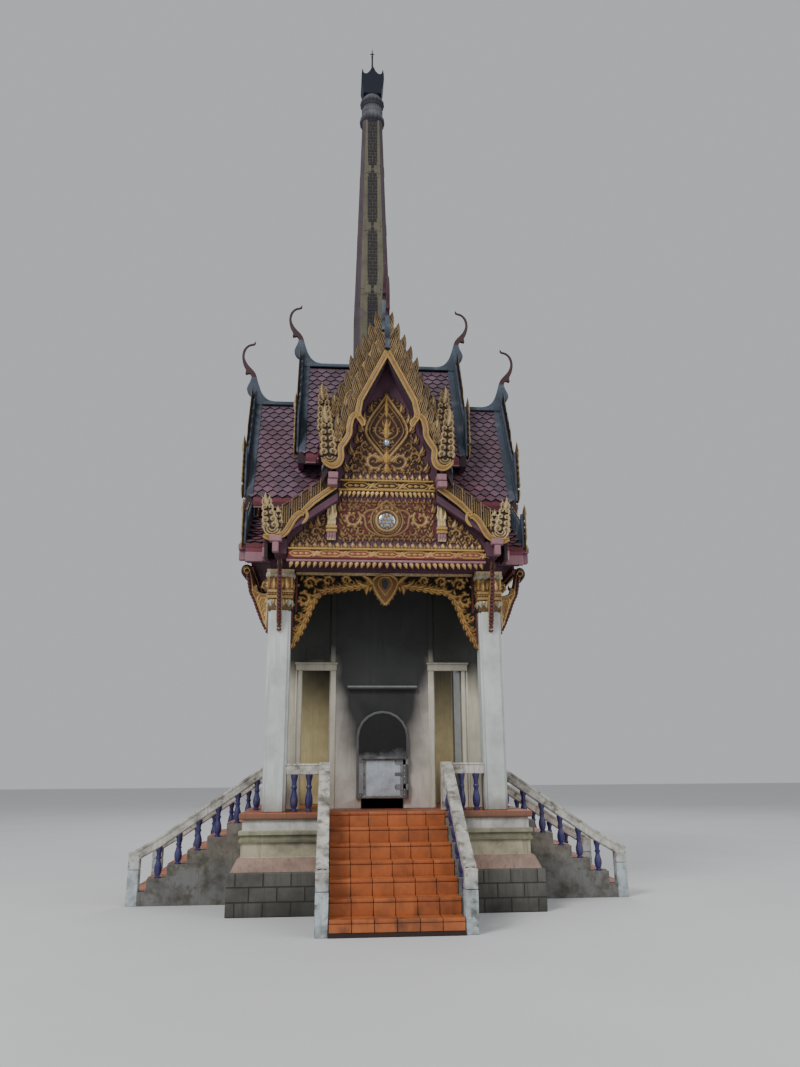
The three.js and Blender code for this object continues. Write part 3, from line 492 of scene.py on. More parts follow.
def block_place(tree, place):
    """Runs a brick pattern round the four upright sides: along the side, then up."""
    axes = node(tree, "ShaderNodeSeparateXYZ", None, {0: place}).outputs
    facing = node(tree, "ShaderNodeSeparateXYZ", None, {
        0: node(tree, "ShaderNodeNewGeometry").outputs["True Normal"]}).outputs
    along_y = maths(tree, "GREATER_THAN", maths(tree, "ABSOLUTE", facing["X"]), 0.7)
    across = maths(tree, "ADD", maths(tree, "MULTIPLY", axes["Y"], along_y),
                   maths(tree, "MULTIPLY", axes["X"], maths(tree, "SUBTRACT", 1.0, along_y)))
    return node(tree, "ShaderNodeCombineXYZ", None, {0: across, 1: axes["Z"]}).outputs[0]


def floor_finish(colours):
    """Square clay tiles of the platform's floor and its nosing."""
    material, tree, surface, place = new_material("floor tiles")
    tiles = node(tree, "ShaderNodeTexBrick", {"offset": 0.0}, {
        "Vector": place, "Scale": 1.0, "Brick Width": 0.3, "Row Height": 0.3, "Mortar Size": 0.006,
        "Color1": colours.terracotta, "Color2": tint(160, 74, 40), "Mortar": tint(70, 56, 46)})
    aged = shared(tree, "weather", {
        "Place": place, "Paint": tiles.outputs["Color"], "Dirt": tint(84, 62, 48), "Amount": 0.7,
        "Streaks": 0.3, "Size": 1.6})
    facing = node(tree, "ShaderNodeNewGeometry").outputs["True Normal"]
    level = node(tree, "ShaderNodeSeparateXYZ", None, {0: facing}).outputs["Z"]
    colour = mixed(tree, fade(tree, level, 0.8, 0.2, 0.0, 0.7), aged["Colour"], tint(116, 92, 76))
    finish(tree, surface, colour, fade(tree, aged["Mask"], 0, 1, 0.45, 0.85),
           maths(tree, "SUBTRACT", aged["Height"], tiles.outputs["Fac"]), 0.3, 0.004)
    return material


def shaft_finish(colours):
    """Weathered paint of the chimney: mauve-brown lower down, greyer towards the top."""
    material, tree, surface, place = new_material("shaft paint")
    height = height_of(tree, place)
    base = mixed(tree, fade(tree, height, 9.5, 13.5), tint(122, 92, 90), tint(84, 80, 76))
    facing = node(tree, "ShaderNodeNewGeometry").outputs["True Normal"]
    facing = node(tree, "ShaderNodeSeparateXYZ", None, {0: facing}).outputs
    slant = maths(tree, "ABSOLUTE", maths(tree, "MULTIPLY", facing["X"], facing["Y"]))
    base = mixed(tree, fade(tree, slant, 0.2, 0.4), base, tint(78, 62, 74))
    aged = shared(tree, "weather", {
        "Place": place, "Paint": base, "Dirt": tint(46, 42, 42), "Amount": 0.6, "Streaks": 0.7, "Size": 1.2})
    finish(tree, surface, aged["Colour"], 0.88, aged["Height"], 0.4, 0.006)
    return material


def collar_finish():
    """Cement rings of the chimney's collar, with painted light on the swells and painted shade under each swell."""
    material, tree, surface, place = new_material("collar cement")
    height = height_of(tree, place)
    height = maths(tree, "SUBTRACT", height, COLLAR_Z)
    pale = fade(tree, maths(tree, "ABSOLUTE", maths(tree, "SUBTRACT", height, 0.43)), 0.02, 0.05, 0.9, 0)
    swell = maths(tree, "MAXIMUM", fade(tree, height, 0.09, 0.25), pale)
    under = maths(tree, "MULTIPLY", fade(tree, height, 0.49, 0.61), fade(tree, height, 0.79, 0.71))
    # Painted light on the swells and painted shade under the rings, with a pale line on the neck's rib
    lit = maths(tree, "SUBTRACT", swell, maths(tree, "MULTIPLY", under, 0.9))
    aged = shared(tree, "weather", {
        "Place": place, "Paint": mixed(tree, lit, tint(36, 35, 44), tint(98, 96, 104)),
        "Dirt": tint(36, 36, 44), "Amount": 0.8, "Streaks": 0.6, "Size": 2.6})
    finish(tree, surface, aged["Colour"], 0.88, aged["Height"], 0.5, 0.01)
    return material


def metal_finish(name, colour, rust, metallic, roughness, amount):
    """Steel plate with heat stains, rust and scratches."""
    material, tree, surface, place = new_material(name, metallic=metallic)
    aged = shared(tree, "weather", {
        "Place": place, "Paint": colour, "Dirt": rust, "Amount": amount, "Streaks": 0.4, "Size": 3.0})
    scratch = noise(tree, place, 8, 3, 0.6, (1, 1, 22))
    toned = mixed(tree, fade(tree, scratch, 0.4, 0.7), aged["Colour"], tuple(c * 0.75 for c in colour))
    finish(tree, surface, toned, fade(tree, aged["Mask"], 0, 1, roughness, 0.85),
           maths(tree, "ADD", aged["Height"], scratch), 0.2, 0.003)
    return material


def door_finish():
    """Furnace door: bright grey plate below, sooty black over the arch."""
    material, tree, surface, place = new_material("furnace door", metallic=0.5)
    aged = shared(tree, "weather", {
        "Place": place, "Paint": tint(142, 144, 146), "Dirt": tint(86, 62, 48), "Amount": 0.5, "Streaks": 0.5,
        "Size": 3.0})
    cloud = fade(tree, noise(tree, place, 5, 5, 0.6), 0, 1, -0.2, 0.2)
    black = fade(tree, maths(tree, "ADD", height_of(tree, place), cloud), 2.12, 2.32)
    colour = mixed(tree, maths(tree, "MULTIPLY", black, 0.94), aged["Colour"], tint(24, 24, 26))
    finish(tree, surface, colour, fade(tree, black, 0, 1, 0.45, 0.8), aged["Height"], 0.3, 0.004)
    return material


def two_sided_paint(name, top, under):
    """Roof slabs: bare dark backing on top and mauve paint on the soffit."""
    material, tree, surface, place = new_material(name)
    facing = node(tree, "ShaderNodeSeparateXYZ", None, {
        0: node(tree, "ShaderNodeNewGeometry").outputs["True Normal"]}).outputs["Z"]
    down = maths(tree, "LESS_THAN", facing, -0.1)
    aged = shared(tree, "weather", {
        "Place": place, "Paint": mixed(tree, down, top, under), "Dirt": tint(40, 30, 40), "Amount": 0.45,
        "Streaks": 0.3, "Size": 1.5})
    finish(tree, surface, aged["Colour"], 0.85, aged["Height"], 0.3, 0.005)
    return material


def mirror_finish():
    """Old mirror glass with dull spots."""
    material, tree, surface, place = new_material("mirror glass", metallic=0.7)
    spots = fade(tree, noise(tree, place, 9, 4, 0.6), 0.5, 0.75)
    finish(tree, surface, mixed(tree, spots, tint(176, 190, 204), tint(120, 126, 132)),
           fade(tree, spots, 0, 1, 0.12, 0.4))
    return material


FINISH = {}


def make_finishes(colours):
    grime = tint(92, 88, 80)
    FINISH.update(
        plaster=plaster_finish("column plaster", colours.plaster, grime),
        wall=plaster_finish("wall plaster", tint(190, 184, 166), grime, 0.45, 0.45, 1.45),
        # Screens, rear wall, trim and furnace front darken upwards with soot and painted shade
        screen=soot_and_shade_finish("screen plaster", tint(196, 190, 170), 3.2, 3.8),
        rear=soot_and_shade_finish("rear plaster", tint(204, 188, 138), 2.3, 4.0),
        trim=soot_and_shade_finish("cream trim", tint(208, 203, 184), 3.4, 4.1),
        ledge=plaster_finish("sooty ledge", tint(130, 136, 136), grime, 0.6, 0.6, 1.45),
        furnace=soot_and_shade_finish("furnace plaster", tint(204, 196, 186), 3.3, 3.95, plume=True),
        door_plate=metal_finish("door plate", tint(190, 198, 206), tint(96, 90, 88), 0.35, 0.45, 0.6),
        gold=gold_finish("carved gold", colours.gold, tint(146, 102, 52)),
        # A darker copy of the gold for leaves, backings and bars that stand in shade: painted shade
        gold_deep=gold_finish("shaded gold", tint(128, 92, 48), tint(100, 62, 36), tint(44, 28, 24)),
        gold_old=gold_finish("old gold", tint(172, 138, 88), tint(138, 98, 60), tint(52, 34, 28)),
        gold_olive=gold_finish("olive gold", tint(164, 140, 98), tint(118, 92, 62), tint(46, 34, 30)),
        gold_brown=paint_finish("brown gold paint", tint(134, 100, 58), tint(76, 54, 38), 0.5, 0.6, 0.4, 3.0),
        gold_plain=paint_finish("gold paint", tint(178, 144, 78), tint(104, 78, 46), 0.42, 0.5, 0.3, 3.0),
        scales=scale_finish(colours),
        # Near-black edges of the scales: painted shade that stands for the shadow under each scale
        scale_rim=paint_finish("scale rims", tint(28, 18, 26), tint(18, 14, 20), 0.8),
        slate=slate_finish(colours),
        fascia=paint_finish("fascia paint", colours.fascia, tint(84, 50, 60), 0.75, 0.6, 0.5),
        pink=paint_finish("faded pink paint", tint(152, 112, 120), tint(98, 68, 78), 0.8, 0.6, 0.5),
        red=paint_finish("red lacquer", tint(128, 44, 48), tint(76, 32, 36), 0.55),
        mauve=paint_finish("mauve paint", tint(86, 52, 68), tint(46, 32, 42), 0.75, 0.6, 0.4),
        soffit=two_sided_paint("roof slab", tint(50, 36, 40), tint(84, 46, 72)),
        step=terracotta_finish("step tiles", colours.terracotta, tint(186, 106, 56)),
        nosing=terracotta_finish("step nosing", tint(188, 106, 58), tint(170, 88, 46)),
        grout=paint_finish("dark joints", tint(50, 38, 34), tint(30, 26, 24), 0.85),
        mossy=mossy_finish("weathered rail", tint(204, 200, 190), tint(190, 200, 204)),
        cheek=mossy_finish("stained cheek", tint(128, 122, 112), tint(118, 118, 116)),
        violet=glaze_finish(colours),
        platform=platform_finish(colours),
        floor=floor_finish(colours),
        shaft=shaft_finish(colours),
        shaft_frame=paint_finish("shaft frame", tint(95, 91, 75), tint(66, 64, 56), 0.85, 0.7, 0.7, 1.6),
        vent=paint_finish("vent blocks", tint(38, 34, 38), tint(24, 22, 26), 0.85),
        ring=collar_finish(),
        crown=metal_finish("crown metal", tint(20, 28, 44), tint(34, 36, 42), 0.3, 0.75, 0.5),
        steel=metal_finish("steel frame", tint(120, 122, 122), tint(96, 66, 48), 0.7, 0.45, 0.6),
        door=door_finish(),
        # Near-black paint: soot, and painted shade where it lines the ceiling
        soot=paint_finish("soot", tint(34, 36, 38), tint(20, 20, 22), 0.92),
        mirror=mirror_finish(),
        gem=paint_finish("dark glass", tint(26, 32, 48), tint(18, 20, 30), 0.2, 0.2, 0.1),
        neck=paint_finish("dark finial", tint(66, 40, 44), tint(30, 26, 28), 0.8),
        shade=paint_finish("dark ground", tint(58, 36, 30), tint(34, 24, 26), 0.85),
        oxblood=paint_finish("oxblood ground", tint(104, 34, 40), tint(52, 24, 30), 0.8),
        dark_red=paint_finish("dark red paint", tint(98, 42, 50), tint(56, 34, 38), 0.7, 0.6, 0.4, 2.5),
        worn=paint_finish("worn white petals", tint(176, 172, 156), tint(120, 104, 70), 0.85, 0.7, 0.4, 4.0),
    )


# Mesh helpers

def turned(angle):
    return Matrix.Rotation(radians(angle), 4, "Z")


def plate(bm, outline, near, far, bevel=0.0, material=0):
    """A plate cut to an outline of x and z, between two planes of y."""
    corners = [bm.verts.new((x, far, z)) for x, z in outline]
    face = bm.faces.new(corners)
    face.material_index = material
    grown = bmesh.ops.extrude_face_region(bm, geom=[face])["geom"]
    moved = [part for part in grown if isinstance(part, bmesh.types.BMVert)]
    bmesh.ops.translate(bm, verts=moved, vec=(0, near - far, 0))
    faces = list({f for v in corners + moved for f in v.link_faces})
    for f in faces:
        f.material_index = material
    bmesh.ops.recalc_face_normals(bm, faces=faces)
    if bevel:
        edges = list({e for f in faces for e in f.edges if e.calc_face_angle(0) > 0.5})
        bmesh.ops.bevel(bm, geom=edges, offset=bevel, offset_type="OFFSET", affect="EDGES",
                        segments=1, profile=0.5, material=-1, clamp_overlap=True)


def block(bm, low, high, bevel=0.0, material=0, segments=1):
    low, high = Vector(low), Vector(high)
    place = Matrix.Translation((low + high) / 2) @ Matrix.Diagonal((*(high - low), 1))
    made = bmesh.ops.create_cube(bm, size=1, matrix=place)["verts"]
    faces = list({f for v in made for f in v.link_faces})
    for f in faces:
        f.material_index = material
    if bevel:
        edges = list({e for v in made for e in v.link_edges})
        bmesh.ops.bevel(bm, geom=edges, offset=bevel, offset_type="OFFSET", affect="EDGES",
                        segments=segments, profile=0.5, material=-1, clamp_overlap=True)


def lathe(bm, profile, steps, centre=(0, 0), start=0.0, material=0):
    """Turns a profile of radius and height round an upright axis."""
    x, y = centre
    turn = Matrix.Rotation(start, 3, "Z")
    chain = [bm.verts.new(Vector((x, y, 0)) + turn @ Vector((r, 0, z))) for r, z in profile]
    edges = [bm.edges.new(pair) for pair in zip(chain, chain[1:])]
    bmesh.ops.spin(bm, geom=chain + edges, cent=(x, y, 0), axis=(0, 0, 1), angle=2 * pi,
                   steps=steps, use_merge=True)
    found = set(chain)
    queue = list(chain)
    while queue:
        for edge in queue.pop().link_edges:
            other = edge.verts[0] if edge.verts[0] not in found else edge.verts[1]
            if other not in found:
                found.add(other)
                queue.append(other)
    bmesh.ops.remove_doubles(bm, verts=list(found), dist=1e-5)
    faces = list({f for v in found if v.is_valid for f in v.link_faces})
    for f in faces:
        f.material_index = material
    bmesh.ops.recalc_face_normals(bm, faces=faces)


def square_tower(bm, profile, centre=(0, 0), material=0):
    lathe(bm, [(half * 2 ** 0.5, z) for half, z in profile], 4, centre, pi / 4, material)


def smooth_line(points, steps=4):
    """A round line through its points."""
    line = []
    for i in range(len(points) - 1):
        before, here = points[max(i - 1, 0)], points[i]
        ahead, after = points[i + 1], points[min(i + 2, len(points) - 1)]
        for k in range(steps):
            t = k / steps
            line.append(0.5 * (2 * here + (ahead - before) * t
                               + (2 * before - 5 * here + 4 * ahead - after) * t ** 2
                               + (3 * here - before - 3 * ahead + after) * t ** 3))
    line.append(points[-1])
    return line


def strokes_mesh(name, strokes, flat=0.6, bevel_resolution=0):
    """Carved strokes on the plane of x and z: each is a line of complex points and its widths."""
    curve = bpy.data.curves.new(name, "CURVE")
    curve.dimensions = "3D"
    curve.bevel_depth = 1.0
    curve.bevel_resolution = bevel_resolution
    curve.use_fill_caps = True
    for line, widths in strokes:
        spline = curve.splines.new("POLY")
        spline.points.add(len(line) - 1)
        for point, at, width in zip(spline.points, line, widths):
            point.co = (at.real, 0, at.imag, 1)
            point.radius = max(width, 0.001) / 2
    holder = bpy.data.objects.new(name, curve)
    mesh = bpy.data.meshes.new_from_object(holder)
    bpy.data.objects.remove(holder)
    bpy.data.curves.remove(curve)
    mesh.transform(Matrix.Diagonal((1, flat, 1, 1)))
    return mesh


def stamp(bm, mesh, matrix, material=None):
    """Adds a copy of a mesh, placed by a matrix."""
    copy = mesh.copy()
    copy.transform(matrix)
    if matrix.determinant() < 0:
        copy.flip_normals()
    if material is not None:
        copy.polygons.foreach_set("material_index", [material] * len(copy.polygons))
    bm.from_mesh(copy)
    bpy.data.meshes.remove(copy)


def carve(bm, strokes, ground, flat=0.6, material=0, both_ways=False):
    """Sets strokes half sunk in the plane y = ground, and their mirror image where asked."""
    if both_ways:
        strokes = strokes + flipped(strokes)
    mesh = strokes_mesh("strokes", strokes, flat)
    stamp(bm, mesh, Matrix.Translation((0, ground, 0)), material)
    bpy.data.meshes.remove(mesh)


def new_mesh(name, bm, finishes, smooth=38):
    mesh = bpy.data.meshes.new(name)
    bm.to_mesh(mesh)
    bm.free()
    for finish_name in finishes:
        mesh.materials.append(FINISH[finish_name])
    mesh.shade_smooth()
    mesh.set_sharp_from_angle(angle=radians(smooth))
    return mesh


def write_relief(mesh, ground, proud):
    """Stores how far each point stands out of the plane y = ground, from 0 to 1, which the gold finishes turn into
    painted shade low down and a painted highlight high up.
    """
    layer = mesh.attributes.new("relief", "FLOAT", "POINT")
    for vertex, value in zip(mesh.vertices, layer.data):
        value.value = min(max((ground - vertex.co.y) / proud, 0), 1)


def place(name, mesh, slot, body="building", replaced=()):
    piece = bpy.data.objects.new(name, mesh)
    bpy.context.scene.collection.objects.link(piece)
    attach(piece, body)
    if replaced:
        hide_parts(*replaced)
    return piece


def on_each(places, kind, mesh, slot, replaced=()):
    """Places a turned copy of a front mesh on each side or corner."""
    for where, angle in places.items():
        copy = mesh.copy()
        copy.transform(turned(angle))
        place(f"{where}_{kind}", copy, slot, replaced=[f"{where}_{node_name}" for node_name in replaced])
    bpy.data.meshes.remove(mesh)


def softened(node_name, piece_name, slot, finish_name, bevel=0.008):
    """A copy of a CAD piece with eased edges stands in for it."""
    bm = bmesh.new()
    bm.from_mesh(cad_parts[node_name].data)
    bmesh.ops.remove_doubles(bm, verts=bm.verts, dist=1e-5)
    bmesh.ops.dissolve_limit(bm, angle_limit=radians(1), verts=bm.verts, edges=bm.edges)
    edges = [e for e in bm.edges if len(e.link_faces) == 2 and e.calc_face_angle(0) > radians(20)]
    bmesh.ops.bevel(bm, geom=edges, offset=bevel, offset_type="OFFSET", affect="EDGES",
                    segments=1, profile=0.5, material=-1, clamp_overlap=True)
    place(piece_name, new_mesh(piece_name, bm, [finish_name]), slot, replaced=[node_name])


def dress(node_name, finish_name):
    """Gives a CAD piece whose shape is right its finish."""
    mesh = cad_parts[node_name].data
    mesh.materials.clear()
    mesh.materials.append(FINISH[finish_name])


# Carved strokes, on a plane of complex numbers: x to the right and y up

def leaf(base, tip, bow=0.0, width=0.05, count=8):
    """A flame leaf that swells near its root and ends in a point."""
    along = tip - base
    line, widths = [], []
    for i in range(count):
        t = i / (count - 1)
        line.append(base + along * (t + 1j * bow * sin(pi * t)))
        widths.append(width * sin(pi * (0.04 + 0.96 * t) ** 0.6))
    return line, widths


def scroll(centre, radius, start, sweep, width, count=16, inner=0.2):
    """A stem that winds in to a bud, from a start angle over a sweep in degrees."""
    line, widths = [], []
    for i in range(count):
        t = i / (count - 1)
        line.append(centre + rect(radius * (1 - t * (1 - inner)), radians(start + sweep * t)))
        widths.append(width * (0.45 + 0.55 * sin(pi * min(1, 0.15 + t)) + (0.5 if t > 0.9 else 0)))
    return line, widths


def arc(centre, radius, start, sweep, width, count=10):
    line = [centre + rect(radius, radians(start + sweep * i / (count - 1))) for i in range(count)]
    return line, [width] * count


def band(points, width, closed=False):
    """A moulding of one width along its points."""
    line = list(points) + ([points[0], points[1]] if closed else [])
    return line, [width] * len(line)


def moved(strokes, at=0j, size=1.0, angle=90.0, mirror=False):
    """Strokes drawn upright at the origin, brought to a place, a size and a direction."""
    turn = rect(size, radians(angle - 90))

    def put(point):
        return at + turn * (complex(-point.real, point.imag) if mirror else point)
    return [([put(p) for p in line], [w * size for w in widths]) for line, widths in strokes]


def flipped(strokes):
    return [([complex(-p.real, p.imag) for p in line], widths) for line, widths in strokes]


# A flame that leans right: its tall tongue, two shorter tongues and the curl at its root
FLAME = [
    leaf(0j, 0.22 + 1.0j, -0.16, 0.24),
    leaf(0.06 + 0.05j, 0.44 + 0.64j, -0.22, 0.2),
    leaf(0.08 + 0.0j, 0.5 + 0.28j, -0.24, 0.17),
    leaf(-0.04 + 0.05j, -0.2 + 0.52j, 0.22, 0.17),
    scroll(-0.12 + 0.12j, 0.14, -60, 330, 0.1, 9),
]


def leafy_scroll(centre, radius, start, sweep, width=0.05, leaves=7):
    """A winding stem with flame leaves on both sides."""
    strokes = [scroll(centre, radius, start, sweep, width, 20, 0.12)]
    way = 1 if sweep > 0 else -1
    for i in range(leaves):
        share = (i + 0.5) / leaves * 0.72
        angle = radians(start + sweep * share)
        reach = radius * (1 - share * 0.88)
        root = centre + rect(reach, angle)
        tip = centre + rect(reach + radius * 0.34, angle + way * 0.62)
        strokes.append(leaf(root, tip, -0.2 * way, width, 6))
        inside = centre + rect(reach * 0.62, angle + way * 0.75)
        strokes.append(leaf(root, inside, -0.25 * way, width * 0.7, 6))
    return strokes


def tooth(root, tall, lean, wide):
    """A flame tooth: the broad leaf under it, and the thin ribs that meet at its tip."""
    way = rect(tall, radians(90 - lean))
    side = way / tall * -1j
    ribs = []
    for s in (-1, -0.5, 0, 0.5, 1):
        foot = root + side * wide * s * 0.42 + way * abs(s) * 0.1
        ribs.append(leaf(foot, root + way * (1 - abs(s) * 0.14), -0.03 - 0.1 * s, wide * 0.15, 8))
    return [leaf(root, root + way, -0.04, wide * 1.2)], ribs


def curl_stack(base, top, wide, rows):
    """Rows of small curls round a stem, smaller towards the top, with a tongue at the end."""
    way = top - base
    out = way / abs(way) * -1j
    strokes = [leaf(base + way * 0.6, top, -0.06, wide * 0.36, 9)]
    for i in range(rows):
        share = i / rows
        size = wide * (1 - 0.5 * share)
        for side in (-1, 1):
            centre = base + way * (share * 0.88 + 0.05) + out * side * size * 0.28
            strokes.append(scroll(centre, size * 0.25, 270 + side * 30, side * 400, size * 0.25, 11, 0.25))
            edge = centre + out * side * size * 0.12
            strokes.append(leaf(edge, edge + out * side * size * 0.2 + way / rows * 0.75, side * 0.22, size * 0.22, 7))
    return strokes


def thicker(strokes, times):
    return [(line, [w * times for w in widths]) for line, widths in strokes]


def spaced(line, pitch):
    """Points a pitch apart along a line, each with the direction there."""
    found, left = [], pitch / 2
    for a, b in zip(line, line[1:]):
        length = abs(b - a)
        while left < length:
            found.append((a + (b - a) * left / length, degrees(phase(b - a))))
            left += pitch
        left -= length
    return found


def petal_row(x0, x1, top, tip, count, width=None, lean=0.0):
    """A row of petals from a level to their tips, which lean away from the middle."""
    pitch = (x1 - x0) / count
    wide = width or pitch * 1.05
    strokes = []
    for i in range(count):
        x = x0 + pitch * (i + 0.5)
        shift = lean if x > 0.01 else -lean if x < -0.01 else 0
        strokes.append(leaf(complex(x, top), complex(x + shift, tip), 0, wide, 6))
    return strokes


def cartouche_row(x0, x1, low, high, count, width=0.016):
    """Long six-sided frames with beads inside, and crossed leaves between them."""
    pitch = (x1 - x0) / count
    middle = (low + high) / 2
    half = (high - low) / 2 * 0.8
    strokes = []
    for i in range(count):
        at = complex(x0 + pitch * (i + 0.5), middle)
        ends = [(-0.42, 0), (-0.27, 1), (0.27, 1), (0.42, 0), (0.27, -1), (-0.27, -1)]
        strokes.append(band([at + complex(pitch * a, half * b) for a, b in ends], width, closed=True))
        for share in (-0.2, 0.0, 0.2):
            bead = at + pitch * share
            strokes.append(leaf(bead - pitch * 0.09, bead + pitch * 0.09, 0, half * 0.8, 6))
        corner = at + pitch / 2
        for way in (1 + 1j, 1 - 1j, -1 + 1j, -1 - 1j):
            tip = corner + complex(way.real * pitch * 0.13, way.imag * half)
            strokes.append(leaf(corner, tip, 0.1, width * 1.6, 6))
    return strokes


def inside(field, point):
    """Whether a point lies in an outline."""
    odd = False
    for a, b in zip(field, field[1:] + field[:1]):
        if (a.imag > point.imag) != (b.imag > point.imag):
            share = (point.imag - a.imag) / (b.imag - a.imag)
            odd ^= point.real < a.real + (b.real - a.real) * share
    return odd


def grown(strokes, field, centre, size=0.1, pitch=0.05):
    """Small leaves wherever strokes leave a field bare, which point away from a centre."""
    cell = pitch / 3
    taken = set()

    def take(point, radius):
        for i in range(int((point.real - radius) // cell), int((point.real + radius) // cell) + 1):
            for j in range(int((point.imag - radius) // cell), int((point.imag + radius) // cell) + 1):
                taken.add((i, j))
    for line, widths in strokes:
        for a, b, width in zip(line, line[1:], widths):
            steps = int(abs(b - a) / cell) + 1
            for k in range(steps):
                take(a + (b - a) * k / steps, width * 0.4)
    leaves = []
    low = min(p.imag for p in field)
    left = min(p.real for p in field)
    for row in range(int((max(p.imag for p in field) - low) / pitch) + 1):
        for column in range(int((max(p.real for p in field) - left) / pitch) + 1):
            at = complex(left + pitch * (column + 0.5 * (row % 2)), low + pitch * row)
            if not inside(field, at) or (int(at.real // cell), int(at.imag // cell)) in taken:
                continue
            turn = 1 if (row + column) % 2 else -1
            way = at - centre
            way = way / max(abs(way), 0.001) * rect(size, radians(38 * turn))
            leaves.append(leaf(at - way * 0.4, at + way * 0.6, 0.28 * turn, size * 0.42, 6))
            take(at, pitch * 0.4)
    return leaves


# Operators

class SHRINE_OT_finishes(bpy.types.Operator):
    """Make every finish of the shrine and give it to the plain pieces"""
    bl_idname = "shrine.finishes"
    bl_label = "Finishes"

    def execute(self, context):
        make_finishes(context.scene.shrine_colours)
        for side in SIDES:
            dress(f"{side}_roof", "soffit")
        dress("upper_roof", "soffit")
        # The ceiling takes the near-black paint as soot and painted shade
        dress("ceiling", "soot")
        dress("attic_walls", "mauve")
        dress("furnace_body", "soot")
        for corner in CORNERS:
            dress(f"{corner}_skirt_roof", "soffit")
            softened(f"{corner}_column", f"{corner}_column_plaster", "plaster", "plaster", 0.01)
        softened("ring_beam", "eave_beams", "plaster", "mauve", 0.01)
        softened("rear_wall", "rear_wall_plaster", "plaster", "rear")
        softened("flue_duct", "flue_duct_plaster", "plaster", "wall")
        softened("left_screen_wall", "left_screen_plaster", "plaster", "screen")
        softened("right_screen_wall", "right_screen_plaster", "plaster", "screen")
        softened("furnace_front", "furnace_front_plaster", "plaster", "furnace")
        softened("platform", "platform_render", "dado", "platform", 0.012)
        softened("floor", "floor_tiles", "stair_tile", "floor", 0.008)
        softened("chimney_shaft", "chimney_render", "shaft_paint", "shaft", 0.012)
        dress("furnace_door_frame", "steel")
        dress("furnace_door", "door")
        return {"FINISHED"}


SCALE_THICK = 0.024


def tile_mesh(width, row):
    """One scale: a plate with a pointed foot, its head raised on the course below."""
    bm = bmesh.new()
    half = width / 2 - 0.003
    outline = [(-half, row * 0.95), (-half, row * 0.12), (0, -row * 0.55), (half, row * 0.12), (half, row * 0.95)]
    plate(bm, outline, 0.0, SCALE_THICK)
    # The two broad faces take the glaze and the edges the near-black paint, a painted shade line under each scale
    for face in bm.faces:
        face.material_index = 0 if abs(face.normal.y) > 0.5 else 1
    mesh = bpy.data.meshes.new("scale")
    bm.to_mesh(mesh)
    bm.free()
    # Laid on the slope: x along the ridge, y up the slope and z out of it, with the foot raised
    lay = Matrix(((1, 0, 0, 0), (0, 0, 1, 0), (0, -1, 0, SCALE_THICK - 0.002), (0, 0, 0, 1)))
    mesh.transform(Matrix.Rotation(radians(-9), 4, "X") @ lay)
    return mesh


def tiled_slope(bm, scale, width, row, line, near, far, first=0.03):
    """Lays scales on the slope that falls towards +x, between two distances from the centre."""
    start = 0
    placed = 0
    for (x0, z0), (x1, z1) in zip(line, line[1:]):
        run = hypot(x1 - x0, z1 - z0)
        up = Vector(((x1 - x0) / run, 0, (z1 - z0) / run))
        along = Vector((0, 1, 0))
        basis = Matrix((along, up, along.cross(up))).transposed().to_4x4()
        count = int((run - start) / row + 0.999)
        # The top course ends under the ridge
        last = run - row * 0.45 if (x1, z1) == line[-1] else run
        for i in range(count):
            reach = start + i * row + first
            if reach > last:
                continue
            foot = Vector((x0, 0, z0)) + up * reach
            shift = width / 2 if placed % 2 else 0
            columns = ceil((near - far) / width) + 1
            for k in range(columns):
                y = -near + shift + k * width
                if y > -far + width / 2:
                    continue
                stamp(bm, scale, Matrix.Translation(foot + Vector((0, y, 0))) @ basis)
            placed += 1
        start = (start + count * row) - run
    return bm


def cut_at_valley(bm, margin=0.0):
    """Cuts a slope of the front arm off at the valley to the next arm."""
    geometry = bm.verts[:] + bm.edges[:] + bm.faces[:]
    cut = bmesh.ops.bisect_plane(bm, geom=geometry, dist=1e-6, plane_co=(margin, 0, 0),
                                 plane_no=(1, 1, 0), clear_outer=True)
    edges = [e for e in cut["geom_cut"] if isinstance(e, bmesh.types.BMEdge)]
    bmesh.ops.holes_fill(bm, edges=edges, sides=0)


def write_tones(mesh, seed=1):
    """Gives each loose part of a mesh a tone of its own, from where it lies."""
    layer = mesh.attributes.new("tone", "FLOAT", "FACE")
    bm = bmesh.new()
    bm.from_mesh(mesh)
    bm.faces.ensure_lookup_table()
    done = set()
    for face in bm.faces:
        if face.index in done:
            continue
        group = {face.index}
        queue = [face]
        while queue:
            for edge in queue.pop().edges:
                for other in edge.link_faces:
                    if other.index not in group:
                        group.add(other.index)
                        queue.append(other)
        at = face.calc_center_median()
        tone = (sin(at.x * 12.9898 + at.y * 78.233 + at.z * 37.719 + seed) * 43758.5453) % 1
        for index in group:
            layer.data[index].value = tone
        done |= group
    bm.free()


